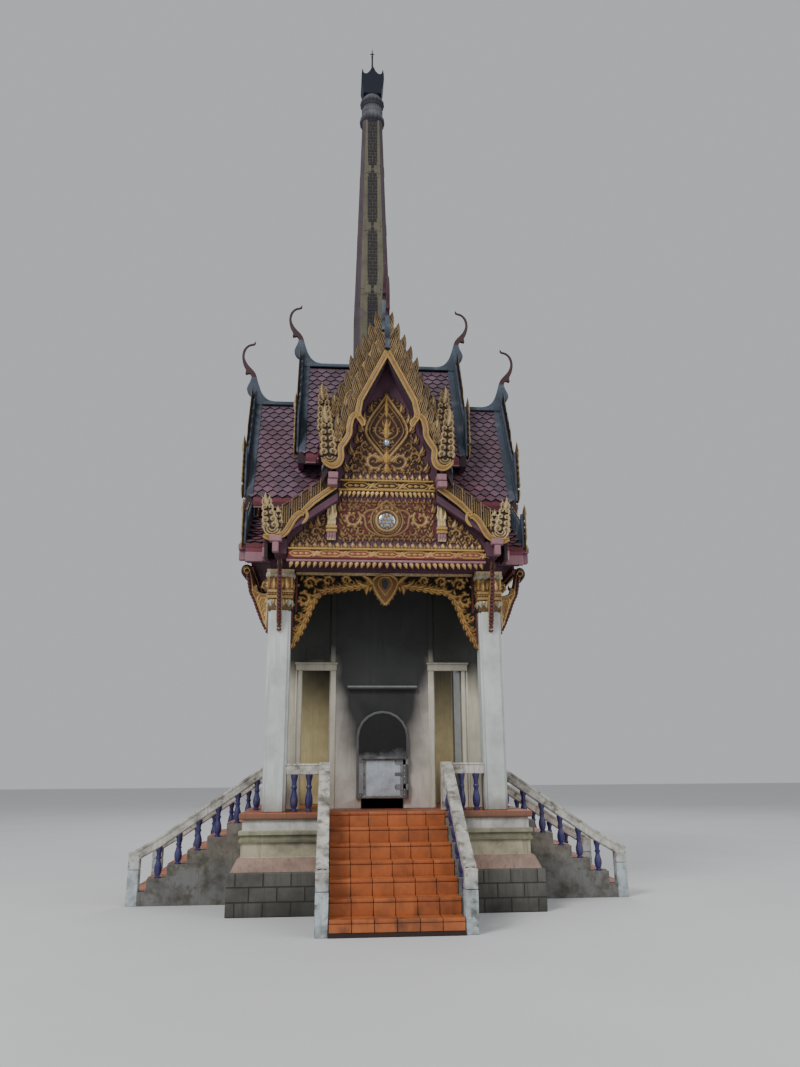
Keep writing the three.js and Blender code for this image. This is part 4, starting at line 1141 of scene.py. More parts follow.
class SHRINE_OT_roof_scales(bpy.types.Operator):
    """Lay the scales of the steep roofs and the skirt roof"""
    bl_idname = "shrine.roof_scales"
    bl_label = "Roof scales"

    def execute(self, context):
        sizes = context.scene.shrine_sizes
        width, row = sizes.tile_width, sizes.tile_row
        scale = tile_mesh(width, row)
        skirt = [(SKIRT_OUT, skirt_top(SKIRT_OUT)), (SKIRT_IN, SKIRT_TOP)]
        courses = {
            "roof_scales": (LOWER_ROOF, LOWER_REACH - VERGE_WIDE / 2, LOWER_START, True),
            "upper_roof_scales": (UPPER_ROOF, UPPER_REACH - VERGE_WIDE / 2, 0, True),
            "skirt_scales": (skirt, SKIRT_REACH - 0.06, SKIRT_IN, True),
        }
        for kind, (line, near, far, valley) in courses.items():
            bm = bmesh.new()
            tiled_slope(bm, scale, width, row, line, near, far)
            if valley:
                cut_at_valley(bm)
            half = bpy.data.meshes.new("slope")
            bm.to_mesh(half)
            stamp(bm, half, Matrix.Diagonal((-1, 1, 1, 1)))
            bpy.data.meshes.remove(half)
            mesh = new_mesh(kind, bm, ["scales", "scale_rim"])
            write_tones(mesh)
            on_each(SIDES, kind, mesh, "roof_tile")
        return {"FINISHED"}


# Finial of a ridge: outward distance from the verge and height over the ridge
CHOFA_OUT = [
    (0, 0), (0, 0.18), (0.06, 0.235), (0.1, 0.32), (0.09, 0.4), (0.04, 0.52), (0.025, 0.61),
    (0.06, 0.68), (0.145, 0.665), (0.14, 0.76), (0.195, 0.88), (0.228, 1.05), (0.2, 1.215),
    (0.11, 1.32), (0.01, 1.352),
]
CHOFA_IN = [
    (-0.03, 1.41), (-0.022, 1.325), (0.08, 1.29), (0.142, 1.23), (0.178, 1.12), (0.17, 1.01),
    (0.1, 0.87), (-0.05, 0.69), (-0.12, 0.46), (-0.2, 0.25), (-0.32, 0.12), (-0.48, RIDGE_TALL),
]
CHOFA_NECK = 0.6


def finial(bm, outer, ridge, ridge_start):
    """The ridge and the finial that it sweeps up into: thinner and darker from the neck up."""
    outside = [complex(outer + u, ridge + v) for u, v in CHOFA_OUT]
    inward = [complex(outer + u, ridge + v) for u, v in CHOFA_IN]
    curve = smooth_line(outside[1:], 3) + smooth_line(inward, 3)
    outline = [complex(ridge_start, ridge), outside[0]] + curve + [complex(ridge_start, ridge + RIDGE_TALL)]
    fin = bmesh.new()
    plate(fin, [(p.real, p.imag) for p in outline], -CHOFA_HALF, CHOFA_HALF)
    for level in (0.3, CHOFA_NECK):
        bmesh.ops.bisect_plane(fin, geom=fin.verts[:] + fin.edges[:] + fin.faces[:], dist=1e-6,
                               plane_co=(0, 0, ridge + level), plane_no=(0, 0, 1))
    for vertex in fin.verts:
        over = vertex.co.z - ridge
        vertex.co.y *= min(1, max(0.3, 1.18 - 0.62 * over))
    for face in fin.faces:
        face.material_index = 1 if face.calc_center_median().z > ridge + CHOFA_NECK else 0
    edges = [e for e in fin.edges if e.calc_face_angle(0) > 1.0]
    bmesh.ops.bevel(fin, geom=edges, offset=0.008, offset_type="OFFSET", affect="EDGES",
                    segments=1, profile=0.5, material=-1, clamp_overlap=True)
    made = bpy.data.meshes.new("fin")
    fin.to_mesh(made)
    fin.free()
    stamp(bm, made, Matrix(((0, 1, 0, 0), (-1, 0, 0, 0), (0, 0, 1, 0), (0, 0, 0, 1))))
    bpy.data.meshes.remove(made)


def ridge_end(bm, line, reach, ridge_start):
    """Verge bands, ridge roll and finial at one end of a steep roof."""
    ridge = line[2][1]
    outer = reach + BOARD_THICK

    def verge(near, far, tall):
        over = [(x, z + tall) for x, z in line]
        under = [(x, z + 0.001) for x, z in line]
        rim = over + [(-x, z) for x, z in reversed(over[:-1])]
        rim += [(-x, z) for x, z in under] + [(x, z) for x, z in reversed(under[:-1])]
        plate(bm, rim, -near, -far, 0.012)
    verge(outer - 0.046, outer - 0.09, VERGE_TALL)
    verge(outer - 0.0903, outer - VERGE_WIDE, VERGE_TALL - 0.025)
    finial(bm, outer, ridge, ridge_start)
    roll = [(CHOFA_HALF + 0.03, ridge), (CHOFA_HALF + 0.03, ridge + 0.045), (0.03, ridge + RIDGE_TALL + 0.012),
            (-0.03, ridge + RIDGE_TALL + 0.012), (-CHOFA_HALF - 0.03, ridge + 0.045), (-CHOFA_HALF - 0.03, ridge)]
    plate(bm, roll, -outer + VERGE_WIDE, -ridge_start, 0.008)


# Right half of the lower tier's bargeboard: the straight strip and the wave that ends turned up
RAKE = [0.0 + 8.88j, 0.455 + 7.97j, 0.478 + 7.84j, 0.5 + 7.72j]
SPUR = [0.5 + 7.75j, 0.475 + 7.65j, 0.43 + 7.59j, 0.4 + 7.5j]
WAVE = [0.47 + 7.66j, 0.52 + 7.71j, 0.6 + 7.63j, 0.635 + 7.47j, 0.64 + 7.35j, 0.71 + 7.21j,
        0.775 + 7.1j, 0.765 + 6.94j, 0.8 + 6.83j, 0.88 + 6.78j, 0.98 + 6.8j, 1.07 + 6.88j]


def tapered(points, width, start=0.2, end=0.3, steps=3):
    """A round strip whose ends thin out."""
    line = smooth_line(points, steps)
    last = len(line) - 1
    return line, [width * min(1, start + 6 * i / last, end + 5 * (last - i) / last) for i in range(last + 1)]


def edged(strips, half, width=0.022):
    """The raised edges on both sides of each strip."""
    edges = []
    for line, widths in strips:
        for side in (-1, 1):
            rim = []
            for i, point in enumerate(line):
                ahead = line[min(i + 1, len(line) - 1)] - line[max(i - 1, 0)]
                share = widths[i] / max(widths)
                rim.append(point + 1j * ahead / abs(ahead) * half * side * share)
            edges.append((rim, [width] * len(rim)))
    return edges


def board_strokes(teeth):
    """Strips, broad leaves and ribs of the right half of the lower tier's bargeboard."""
    strips = [(RAKE, [0.09] * len(RAKE)), tapered(SPUR, 0.055, 0.8, 0.1), tapered(WAVE, 0.09)]
    broad, ribs = [], []
    (x0, z0), (x1, z1), (x2, z2) = reversed(LOWER_ROOF)
    straight = round(teeth * 5 / 8)
    for i in range(teeth):
        if i < straight:
            share = (i + 0.1) / straight
            root = complex(x0 + (x1 - x0) * share + 0.03, z0 + (z1 - z0) * share + 0.01)
        else:
            share = 0.06 + 0.56 * (i - straight) / (teeth - straight)
            root = complex(x1 + (x2 - x1) * share - 0.02, z1 + (z2 - z1) * share - 0.02)
        for foot, tall, lean, wide in ((root, 0.42, 15, 0.14), (root + 0.03 - 0.11j, 0.26, 20, 0.11)):
            under, over = tooth(foot, tall, lean, wide)
            broad += under
            ribs += over
    ribs += [arc(0.95 + 6.96j, r, 195, 150, 0.034) for r in (0.05, 0.095, 0.14)]
    ribs += curl_stack(0.97 + 6.98j, 1.04 + 7.9j, 0.25, 7)
    ribs += curl_stack(0.82 + 7.2j, 0.82 + 7.7j, 0.14, 4)
    return strips, broad, ribs


def steep_board(bm, teeth, line, reach):
    """Gold bargeboards of one steep gable: backing, strips, leaves and ribs."""
    (eave, low), ridge = line[0], line[2][1]
    (lower_eave, lower_low), lower_ridge = LOWER_ROOF[0], LOWER_ROOF[2][1]
    across, up = eave / lower_eave, (ridge - low) / (lower_ridge - lower_low)

    def fit(strokes):
        return [([complex(p.real * across, low + (p.imag - lower_low) * up) for p in points], widths)
                for points, widths in strokes]
    face = -reach - BOARD_THICK
    strips, broad, ribs = (fit(strokes) for strokes in board_strokes(teeth))
    carve(bm, strips, face + 0.014, 0.4, 4, both_ways=True)
    carve(bm, edged(strips, 0.036, 0.03), face + 0.004, 0.9, 1, both_ways=True)
    carve(bm, broad, face + 0.034, 0.1, 2, both_ways=True)
    carve(bm, ribs, face + 0.014, 0.9, 0, both_ways=True)
    inner = [0.0 + 8.72j, 0.41 + 7.97j, 0.44 + 7.8j, 0.52 + 7.66j, 0.57 + 7.55j, 0.6 + 7.33j,
             0.7 + 7.14j, 0.74 + 7.0j, 0.75 + 6.86j, 0.87 + 6.74j]
    outer = [1.06 + 6.84j, 1.08 + 7.1j, 1.07 + 7.5j, 1.04 + 7.68j, 0.96 + 7.55j, 0.86 + 7.6j, 0.7 + 7.86j,
             0.56 + 8.12j, 0.14 + 9.02j, 0.0 + 9.16j]
    half = [(p.real, p.imag) for p in fit([(inner + outer, [])])[0][0]]
    # The shaded gold plate shows between the ribs as painted shade, with the slate back behind it
    for outline in (half, [(-x, z) for x, z in reversed(half)]):
        plate(bm, outline, face + 0.034, face + 0.046, 0.002, 2)
        plate(bm, outline, face + 0.045, -reach - 0.001, 0.004, 3)


class SHRINE_OT_bargeboards(bpy.types.Operator):
    """Build the verges, finials and gold bargeboards of the eight steep gables"""
    bl_idname = "shrine.bargeboards"
    bl_label = "Bargeboards and finials"

    def execute(self, context):
        teeth = context.scene.shrine_sizes.teeth
        tiers = {
            "": (LOWER_ROOF, LOWER_REACH, UPPER_REACH + 0.12, "bargeboards"),
            "upper_": (UPPER_ROOF, UPPER_REACH, CHOFA_HALF, "upper_bargeboards"),
        }
        for tier, (line, reach, ridge_start, replaced) in tiers.items():
            bm = bmesh.new()
            steep_board(bm, teeth, line, reach)
            mesh = new_mesh("board", bm, ["gold_olive", "gold_plain", "gold_deep", "slate", "gold_brown"])
            write_relief(mesh, -reach - BOARD_THICK + 0.035, 0.04)
            on_each(SIDES, tier + "gold_boards", mesh, "gold", replaced=[replaced])
            bm = bmesh.new()
            ridge_end(bm, line, reach, ridge_start)
            mesh = new_mesh("verge", bm, ["slate", "neck"])
            on_each(SIDES, tier + "verge_and_finial", mesh, "weathered")
        return {"FINISHED"}


# Heights of the gable's mouldings
GABLE_FACE = -2.2
GABLE_HALF = 1.62
PEDIMENT_LOW = 6.64
FRIEZE_LOW = 6.485
PANEL_HIGH = 6.335
PANEL_LOW = 5.6
LEAVES_LOW = 5.486
LOZENGE_LOW = 5.304
PINK_LOW = 5.24
MIRROR_Z = 5.95
MIRROR_HALF = 0.145
BOSS_Z = 7.32


def gable_wall(bm):
    """The mauve wall of a gable, up to the roofs that it meets."""
    seat = 0.001
    under = 0.122 + seat
    thick = 0.215 + seat
    half = [
        (GABLE_HALF, 5.34), (GABLE_HALF, skirt_top(GABLE_HALF) - under), (SKIRT_IN, SKIRT_TOP - under),
        (SKIRT_IN, roof_height(LOWER_ROOF, SKIRT_IN) - thick), (0.53, 7.83 - thick), (0, 8.95 - thick),
    ]
    outline = half + [(-x, z) for x, z in reversed(half[:-1])]
    plate(bm, outline, GABLE_FACE, -2.1, 0.0, 0)
    block(bm, (-GABLE_HALF + 0.005, -2.105, 5.34), (GABLE_HALF - 0.005, -1.9003, 5.38), 0, 0)


PEDIMENT_FIELD = [6.78j, 0.7 + 6.78j, 0.6 + 7.1j, 0.47 + 7.42j, 0.4 + 7.72j, 0.24 + 8.05j, 8.24j]
PANEL_FIELD = [5.62j, 0.79 + 5.62j, 0.79 + 6.31j, 6.31j]
WING_FIELD = [1.02 + 5.58j, 1.56 + 5.58j, 1.52 + 5.66j, 1.02 + 6.08j]


def pediment_strokes():
    """Right half of the steep pediment: scrolls that carry a tall flame round a lotus bud."""
    bulb = smooth_line([0.02 + 7.03j, 0.14 + 7.18j, 0.33 + 7.43j, 0.355 + 7.58j, 0.285 + 7.77j, 0.15 + 7.97j, 8.2j], 4)
    rim = smooth_line([0.0 + 7.12j, 0.11 + 7.24j, 0.27 + 7.46j, 0.29 + 7.58j, 0.23 + 7.74j, 0.11 + 7.92j, 8.08j], 4)
    bud = smooth_line([7.38j, 0.1 + 7.41j, 0.19 + 7.5j, 0.175 + 7.63j, 0.1 + 7.76j, 7.9j], 4)
    strokes = [band(bulb, 0.05), band(rim, 0.03), band(bud, 0.034)]
    strokes += leafy_scroll(0.215 + 7.0j, 0.155, -150, 480, 0.055, 8)
    strokes += leafy_scroll(0.5 + 7.07j, 0.1, 220, -430, 0.042, 6)
    strokes += leafy_scroll(0.54 + 6.88j, 0.08, 180, 430, 0.036, 5)
    strokes += leafy_scroll(0.37 + 7.27j, 0.08, -120, 420, 0.036, 5)
    for at, size, angle in ((0.62 + 6.82j, 0.22, 84), (0.56 + 7.12j, 0.22, 92), (0.47 + 7.32j, 0.2, 98),
                            (0.39 + 7.52j, 0.24, 98), (0.35 + 7.68j, 0.24, 104), (0.24 + 7.88j, 0.22, 108)):
        strokes += moved(FLAME, at, size, angle)
    for angle in (8, 42, 70):
        strokes.append(leaf(7.47j, 7.47j + rect(0.15, radians(angle)), 0.12, 0.055, 6))
    strokes += [leaf(0.03 + 7.6j, 0.06 + 7.78j, -0.1, 0.045, 6), leaf(0.05 + 6.98j, 0.18 + 7.2j, -0.18, 0.06)]
    return strokes


def panel_strokes():
    """Right half of the lower panel: a pointed frame round the mirror, and a scroll beside it."""
    middle = complex(0, MIRROR_Z)
    strokes = [arc(middle, r, -90, 180, w, 15) for r, w in ((0.175, 0.05), (0.222, 0.026), (0.265, 0.034))]
    shoulder = smooth_line([6.295j, 0.08 + 6.23j, 0.19 + 6.14j, 0.3 + 6.12j, 0.38 + 6.06j], 4)
    hull = smooth_line([0.38 + 6.06j, 0.36 + 5.94j, 0.33 + 5.82j, 0.2 + 5.72j, 0.08 + 5.69j, 5.67j], 4)
    strokes += [band(shoulder, 0.04), band(hull, 0.034)]
    strokes += leafy_scroll(0.57 + 5.98j, 0.15, 130, 480, 0.055, 8)
    strokes += leafy_scroll(0.42 + 5.76j, 0.075, 90, -420, 0.036, 5)
    for at, size, angle in ((0.68 + 5.68j, 0.17, 75), (0.74 + 6.1j, 0.19, 100), (0.44 + 6.18j, 0.17, 40),
                            (0.25 + 6.2j, 0.13, 50), (0.56 + 5.66j, 0.14, 60), (0.68 + 6.24j, 0.12, 20)):
        strokes += moved(FLAME, at, size, angle)
    for angle in (35, 60, 80):
        strokes.append(leaf(middle + rect(0.2, radians(angle)), middle + rect(0.3, radians(angle + 12)), 0.1, 0.05, 6))
    return strokes


def wing_strokes():
    """Right side panel, a triangle under the skirt roof."""
    strokes = leafy_scroll(1.16 + 5.74j, 0.085, 190, -430, 0.04, 6)
    strokes += leafy_scroll(1.35 + 5.66j, 0.06, 190, -420, 0.032, 5)
    for at, size, angle in ((1.06 + 5.6j, 0.17, 88), (1.08 + 5.84j, 0.22, 92), (1.2 + 5.82j, 0.16, 84),
                            (1.44 + 5.58j, 0.13, 76), (1.3 + 5.74j, 0.12, 80)):
        strokes += moved(FLAME, at, size, angle)
    return strokes


def gable_mouldings(bm):
    """Level mouldings of a gable: rails, friezes and petal rows."""
    def rail(half, low, high, proud, material):
        block(bm, (-half, GABLE_FACE - proud, low), (half, GABLE_FACE + 0.01, high), 0.006, material)

    def row(half, top, tip, count, lean=0.0, depth=0.012, width=None):
        carve(bm, petal_row(-half, half, top, tip, count, width, lean), GABLE_FACE - depth, 0.5, 0)
    row(0.75, PEDIMENT_LOW + 0.01, PEDIMENT_LOW + 0.15, 12, 0, 0.004, 0.1)
    row(0.75, PEDIMENT_LOW + 0.01, PEDIMENT_LOW + 0.11, 12, 0, 0.012, 0.05)
    row(0.69, PEDIMENT_LOW + 0.01, PEDIMENT_LOW + 0.08, 11, 0, 0.008, 0.045)
    rail(0.78, PEDIMENT_LOW - 0.018, PEDIMENT_LOW + 0.012, 0.05, 1)
    rail(0.76, FRIEZE_LOW, PEDIMENT_LOW - 0.018, 0.015, 4)
    carve(bm, cartouche_row(-0.75, 0.75, FRIEZE_LOW, PEDIMENT_LOW - 0.018, 3, 0.024), GABLE_FACE - 0.016, 0.45, 1)
    rail(0.8, FRIEZE_LOW - 0.03, FRIEZE_LOW, 0.055, 1)
    row(0.8, FRIEZE_LOW - 0.028, PANEL_HIGH + 0.01, 21, 0.03, 0.025, 0.062)
    row(1.6, LEAVES_LOW - 0.02, LEAVES_LOW + 0.115, 26, 0, 0.004, 0.105)
    row(1.6, LEAVES_LOW - 0.02, LEAVES_LOW + 0.085, 26, 0, 0.012, 0.05)
    row(1.54, LEAVES_LOW - 0.02, LEAVES_LOW + 0.06, 25, 0, 0.008, 0.045)
    rail(1.6, LEAVES_LOW - 0.048, LEAVES_LOW - 0.016, 0.06, 1)
    rail(1.6, LOZENGE_LOW, LEAVES_LOW - 0.048, 0.03, 3)
    frieze = cartouche_row(-1.61, 1.61, LOZENGE_LOW + 0.01, LEAVES_LOW - 0.05, 7, 0.03)
    carve(bm, frieze, GABLE_FACE - 0.03, 0.4, 1)
    rail(1.61, LOZENGE_LOW - 0.02, LOZENGE_LOW + 0.005, 0.06, 5)
    rail(1.62, PINK_LOW, LOZENGE_LOW - 0.02, 0.045, 6)
    carve(bm, petal_row(-1.58, 1.58, PINK_LOW + 0.01, 5.135, 33, 0.07, 0.035), GABLE_FACE - 0.022, 0.6, 0)
    for s in (-1, 1):
        x0, x1 = sorted((s * 0.815, s * 0.995))
        block(bm, (x0 + 0.02, GABLE_FACE - 0.045, PANEL_LOW), (x1 - 0.02, GABLE_FACE + 0.01, 6.3), 0.006, 2)
        for z in (5.822, 5.757):
            block(bm, (x0, GABLE_FACE - 0.075, z - 0.024), (x1, GABLE_FACE + 0.01, z + 0.024), 0.01, 1)
        middle = (x0 + x1) / 2
        face = GABLE_FACE - 0.055
        carve(bm, petal_row(x0 + 0.02, x1 - 0.02, 5.85, 5.97, 3), face, 0.8, 0)
        carve(bm, petal_row(x0 + 0.02, x1 - 0.02, 5.73, 5.61, 3), face, 0.8, 6)
        carve(bm, [leaf(complex(middle, 5.9), complex(middle, 6.26), 0, 0.08),
                   leaf(complex(middle, 5.92), complex(middle - 0.06, 6.14), 0.15, 0.05),
                   leaf(complex(middle, 5.92), complex(middle + 0.06, 6.14), -0.15, 0.05)], face, 0.8, 0)


def skirt_board(bm, side):
    """Gold raking board over the end of the skirt roof: strip, grooved teeth and turned-up end."""
    face = -SKIRT_REACH - BOARD_THICK

    def put(strokes):
        return strokes if side > 0 else flipped(strokes)
    strips = [
        ([0.86 + 6.48j, 1.21 + 6.205j, 1.37 + 6.03j], [0.1, 0.1, 0.08]),
        tapered([1.35 + 5.98j, 1.42 + 6.0j, 1.51 + 5.91j, 1.58 + 5.78j, 1.65 + 5.67j, 1.75 + 5.61j,
                 1.88 + 5.59j, 1.99 + 5.62j], 0.1),
    ]
    spur = tapered([1.33 + 6.07j, 1.3 + 5.98j, 1.315 + 5.9j, 1.385 + 5.82j], 0.05, 0.9, 0.05)
    carve(bm, put(strips), face + 0.014, 0.4, 5)
    carve(bm, put([spur]), face + 0.008, 0.8, 1)
    carve(bm, put(edged(strips, 0.038, 0.032)), face + 0.004, 0.9, 1)
    for i in range(5):
        x, top = 1.037 + 0.152 * i, 6.657 - 0.111 * i
        low = top - 0.31 - 0.018 * i
        wide = 0.056
        corners = [(x - wide, low), (x + wide, low - 0.06), (x + wide, top - 0.072), (x - wide, top)]
        plate(bm, [(side * a, b) for a, b in corners], face + 0.032, face + 0.046, 0.004, 2)
        plate(bm, [(side * a, b) for a, b in corners], face + 0.045, face + 0.07, 0.004, 4)
        corners = [complex(a, b) for a, b in corners]
        ribs = [([corners[0], corners[3], corners[2], corners[1]], [0.026] * 4)]
        ribs += [([complex(x + s, low), complex(x + s, top - 0.08 - s * 0.6)], [0.022, 0.016]) for s in (-0.018, 0.018)]
        carve(bm, put(ribs), face + 0.024, 1.2, 0)
    carving = [arc(1.85 + 5.76j, r, 190, 160, 0.032) for r in (0.05, 0.092, 0.134)]
    carving += curl_stack(1.88 + 5.76j, 1.98 + 6.36j, 0.23, 5)
    carving += curl_stack(1.75 + 5.84j, 1.77 + 6.14j, 0.12, 3)
    carve(bm, put(carving), face + 0.014, 0.9, 0)
    backing = [(0.86, 6.43), (1.3, 6.09), (1.38, 5.98), (1.5, 5.86), (1.6, 5.69), (1.72, 5.6), (1.97, 5.59),
               (1.99, 5.9), (1.97, 6.16), (1.92, 6.2), (1.84, 6.04), (1.76, 6.02), (1.62, 5.92), (1.5, 6.0), (1.25, 6.2),
               (0.86, 6.52)]
    plate(bm, [(side * x, z) for x, z in backing], face + 0.034, face + 0.046, 0.002, 2)
    plate(bm, [(side * x, z) for x, z in backing], face + 0.045, face + BOARD_THICK - 0.001, 0.004, 4)
    lining = [(0.81, skirt_top(0.81) - 0.19), (1.6197, skirt_top(1.6197) - 0.19),
              (1.6197, skirt_top(1.6197) - 0.124), (0.81, skirt_top(0.81) - 0.124)]
    plate(bm, [(side * x, z) for x, z in lining], face + 0.012, GABLE_FACE, 0.004, 3)
    apron = [(x, z + rise) for (x, z), rise in zip(lining, (0.05, 0.05, 0.07, 0.07))]
    plate(bm, [(side * x, z) for x, z in apron], face + 0.028, face + 0.05, 0.002, 3)


class SHRINE_OT_gables(bpy.types.Operator):
    """Build the four gables: walls, friezes, carving, mirror and raking boards"""
    bl_idname = "shrine.gables"
    bl_label = "Gables"

    def execute(self, context):
        bm = bmesh.new()
        gable_wall(bm)
        on_each(SIDES, "gable_wall", new_mesh("gable", bm, ["mauve"]), "fascia", replaced=["gable"])
        bm = bmesh.new()
        fields = (
            (pediment_strokes(), PEDIMENT_FIELD, 7.1j, 4), (panel_strokes(), PANEL_FIELD, 5.95j, 5),
            (wing_strokes(), WING_FIELD, 1.0 + 5.6j, 4),
        )
        for strokes, field, centre, ground in fields:
            strokes = thicker(strokes, 1.6)
            strokes += thicker(grown(strokes, field, centre, 0.1, 0.052), 1.3)
            carve(bm, strokes, GABLE_FACE - 0.006, 0.8, 7, both_ways=True)
            half = [(p.real, p.imag) for p in field]
            for outline in (half, [(-x, z) for x, z in reversed(half)]):
                plate(bm, outline, GABLE_FACE - 0.006, GABLE_FACE + 0.004, 0, ground)
        knot = [leaf(6.96j, 7.22j, 0, 0.11), leaf(6.8j, 6.98j, 0, 0.1), leaf(7.03j, -0.12 + 7.1j, 0.2, 0.06),
                leaf(7.03j, 0.12 + 7.1j, -0.2, 0.06), leaf(7.4j, 7.8j, 0, 0.1), leaf(7.8j, 8.26j, 0, 0.06)]
        carve(bm, knot, GABLE_FACE - 0.01, 0.9, 1)
        gable_mouldings(bm)
        finishes = ["gold", "gold_plain", "gold_deep", "red", "shade", "oxblood", "pink", "gold_old"]
        mesh = new_mesh("carving", bm, finishes)
        write_relief(mesh, GABLE_FACE - 0.004, 0.034)
        on_each(SIDES, "gable_carving", mesh, "gold")
        bm = bmesh.new()
        lens = [(0.0, 0.0), (0.07, -0.004), (0.12, -0.01), (MIRROR_HALF, -0.022), (MIRROR_HALF, -0.05), (0.0, -0.05)]
        lathe(bm, lens, 32)
        bmesh.ops.rotate(bm, verts=bm.verts, cent=(0, 0, 0), matrix=Matrix.Rotation(radians(90), 3, "X"))
        bmesh.ops.translate(bm, verts=bm.verts, vec=(0, GABLE_FACE - 0.022, MIRROR_Z))
        bmesh.ops.create_uvsphere(bm, u_segments=16, v_segments=10, radius=0.065,
                                  matrix=Matrix.Translation((0, GABLE_FACE - 0.02, BOSS_Z)))
        on_each(SIDES, "gable_mirror", new_mesh("mirror", bm, ["mirror"]), "steel")
        bm = bmesh.new()
        skirt_board(bm, 1)
        skirt_board(bm, -1)
        mesh = new_mesh("skirt board", bm, ["gold_olive", "gold_plain", "gold_old", "mauve", "slate", "gold_brown"])
        write_relief(mesh, -SKIRT_REACH - BOARD_THICK + 0.036, 0.028)
        on_each(SIDES, "skirt_boards", mesh, "gold")
        return {"FINISHED"}


class SHRINE_OT_eaves(bpy.types.Operator):
    """Add the painted fascias of the eaves and the end blocks of the purlins"""
    bl_idname = "shrine.eaves"
    bl_label = "Eaves"

    def execute(self, context):
        bm = bmesh.new()
        for s in (-1, 1):
            def strip(x0, x1, y0, y1, z0, z1, material, bevel=0.006):
                low, high = sorted((s * x0, s * x1))
                block(bm, (low, y0, z0), (high, y1, z1), bevel, material)
            strip(1.075, 1.10, -LOWER_REACH + 0.14, -1.1, 6.60, 6.685, 0)
            strip(1.085, 1.115, -LOWER_REACH + 0.14, -1.115, 6.515, 6.60, 1)
            strip(1.08, 1.12, -LOWER_REACH + 0.14, -1.12, 6.485, 6.512, 2)
            strip(1.145, 1.17, -UPPER_REACH + 0.14, -1.19, 7.43, 7.51, 0)
            strip(1.155, 1.185, -UPPER_REACH + 0.14, -1.2, 7.35, 7.43, 1)
            strip(1.15, 1.19, -UPPER_REACH + 0.14, -1.2, 7.32, 7.348, 2)
            strip(SKIRT_OUT - 0.002, SKIRT_OUT + 0.022, -SKIRT_REACH, -SKIRT_OUT - 0.03, 5.52, 5.6, 1)
            strip(SKIRT_OUT - 0.002, SKIRT_OUT + 0.026, -SKIRT_REACH, -SKIRT_OUT - 0.03, 5.45, 5.52, 0)
            strip(SKIRT_OUT - 0.002, SKIRT_OUT + 0.032, -SKIRT_REACH, -SKIRT_OUT - 0.04, 5.29, 5.45, 2)
            strip(1.69, 1.89, -2.43, -2.3, 5.52, 5.62, 2, 0.012)
            strip(1.74, 1.84, -2.42, -2.3, 5.35, 5.52, 2, 0.012)
            for z, x, y in ((6.64, 0.89, -2.5), (6.53, 0.9, -2.48)):
                strip(x - 0.08, x + 0.08, y, -2.3, z - 0.06, z + 0.05, 2, 0.01)
        on_each(SIDES, "eave_fascias", new_mesh("fascia", bm, ["fascia", "dark_red", "pink"]), "fascia")
        return {"FINISHED"}


# Bracket that rears up from a column to the eaves: outwards distances and heights of its neck,
# its body and the curl behind it
NAGA_NECK = [2.17 + 4.84j, 2.19 + 4.96j, 2.21 + 5.08j, 2.235 + 5.18j, 2.27 + 5.255j, 2.325 + 5.25j,
             2.345 + 5.18j, 2.32 + 5.11j, 2.285 + 5.035j]
NAGA_WIDE = [0.12, 0.095, 0.085, 0.08, 0.085, 0.085, 0.075, 0.05, 0.008]
NAGA_BODY = [1.9 + 4.17j, 1.955 + 4.27j, 2.012 + 4.39j, 2.07 + 4.53j, 2.13 + 4.69j, 2.2 + 4.83j, 2.2 + 4.9j,
             2.11 + 4.96j, 2.09 + 4.86j, 2.0 + 4.81j, 1.92 + 4.83j, 1.9 + 4.84j]
NAGA_CURL = [1.92 + 4.82j, 2.0 + 4.87j, 2.045 + 4.95j, 2.0 + 5.05j, 1.92 + 5.07j, 1.9 + 5.06j, 1.9 + 4.82j]


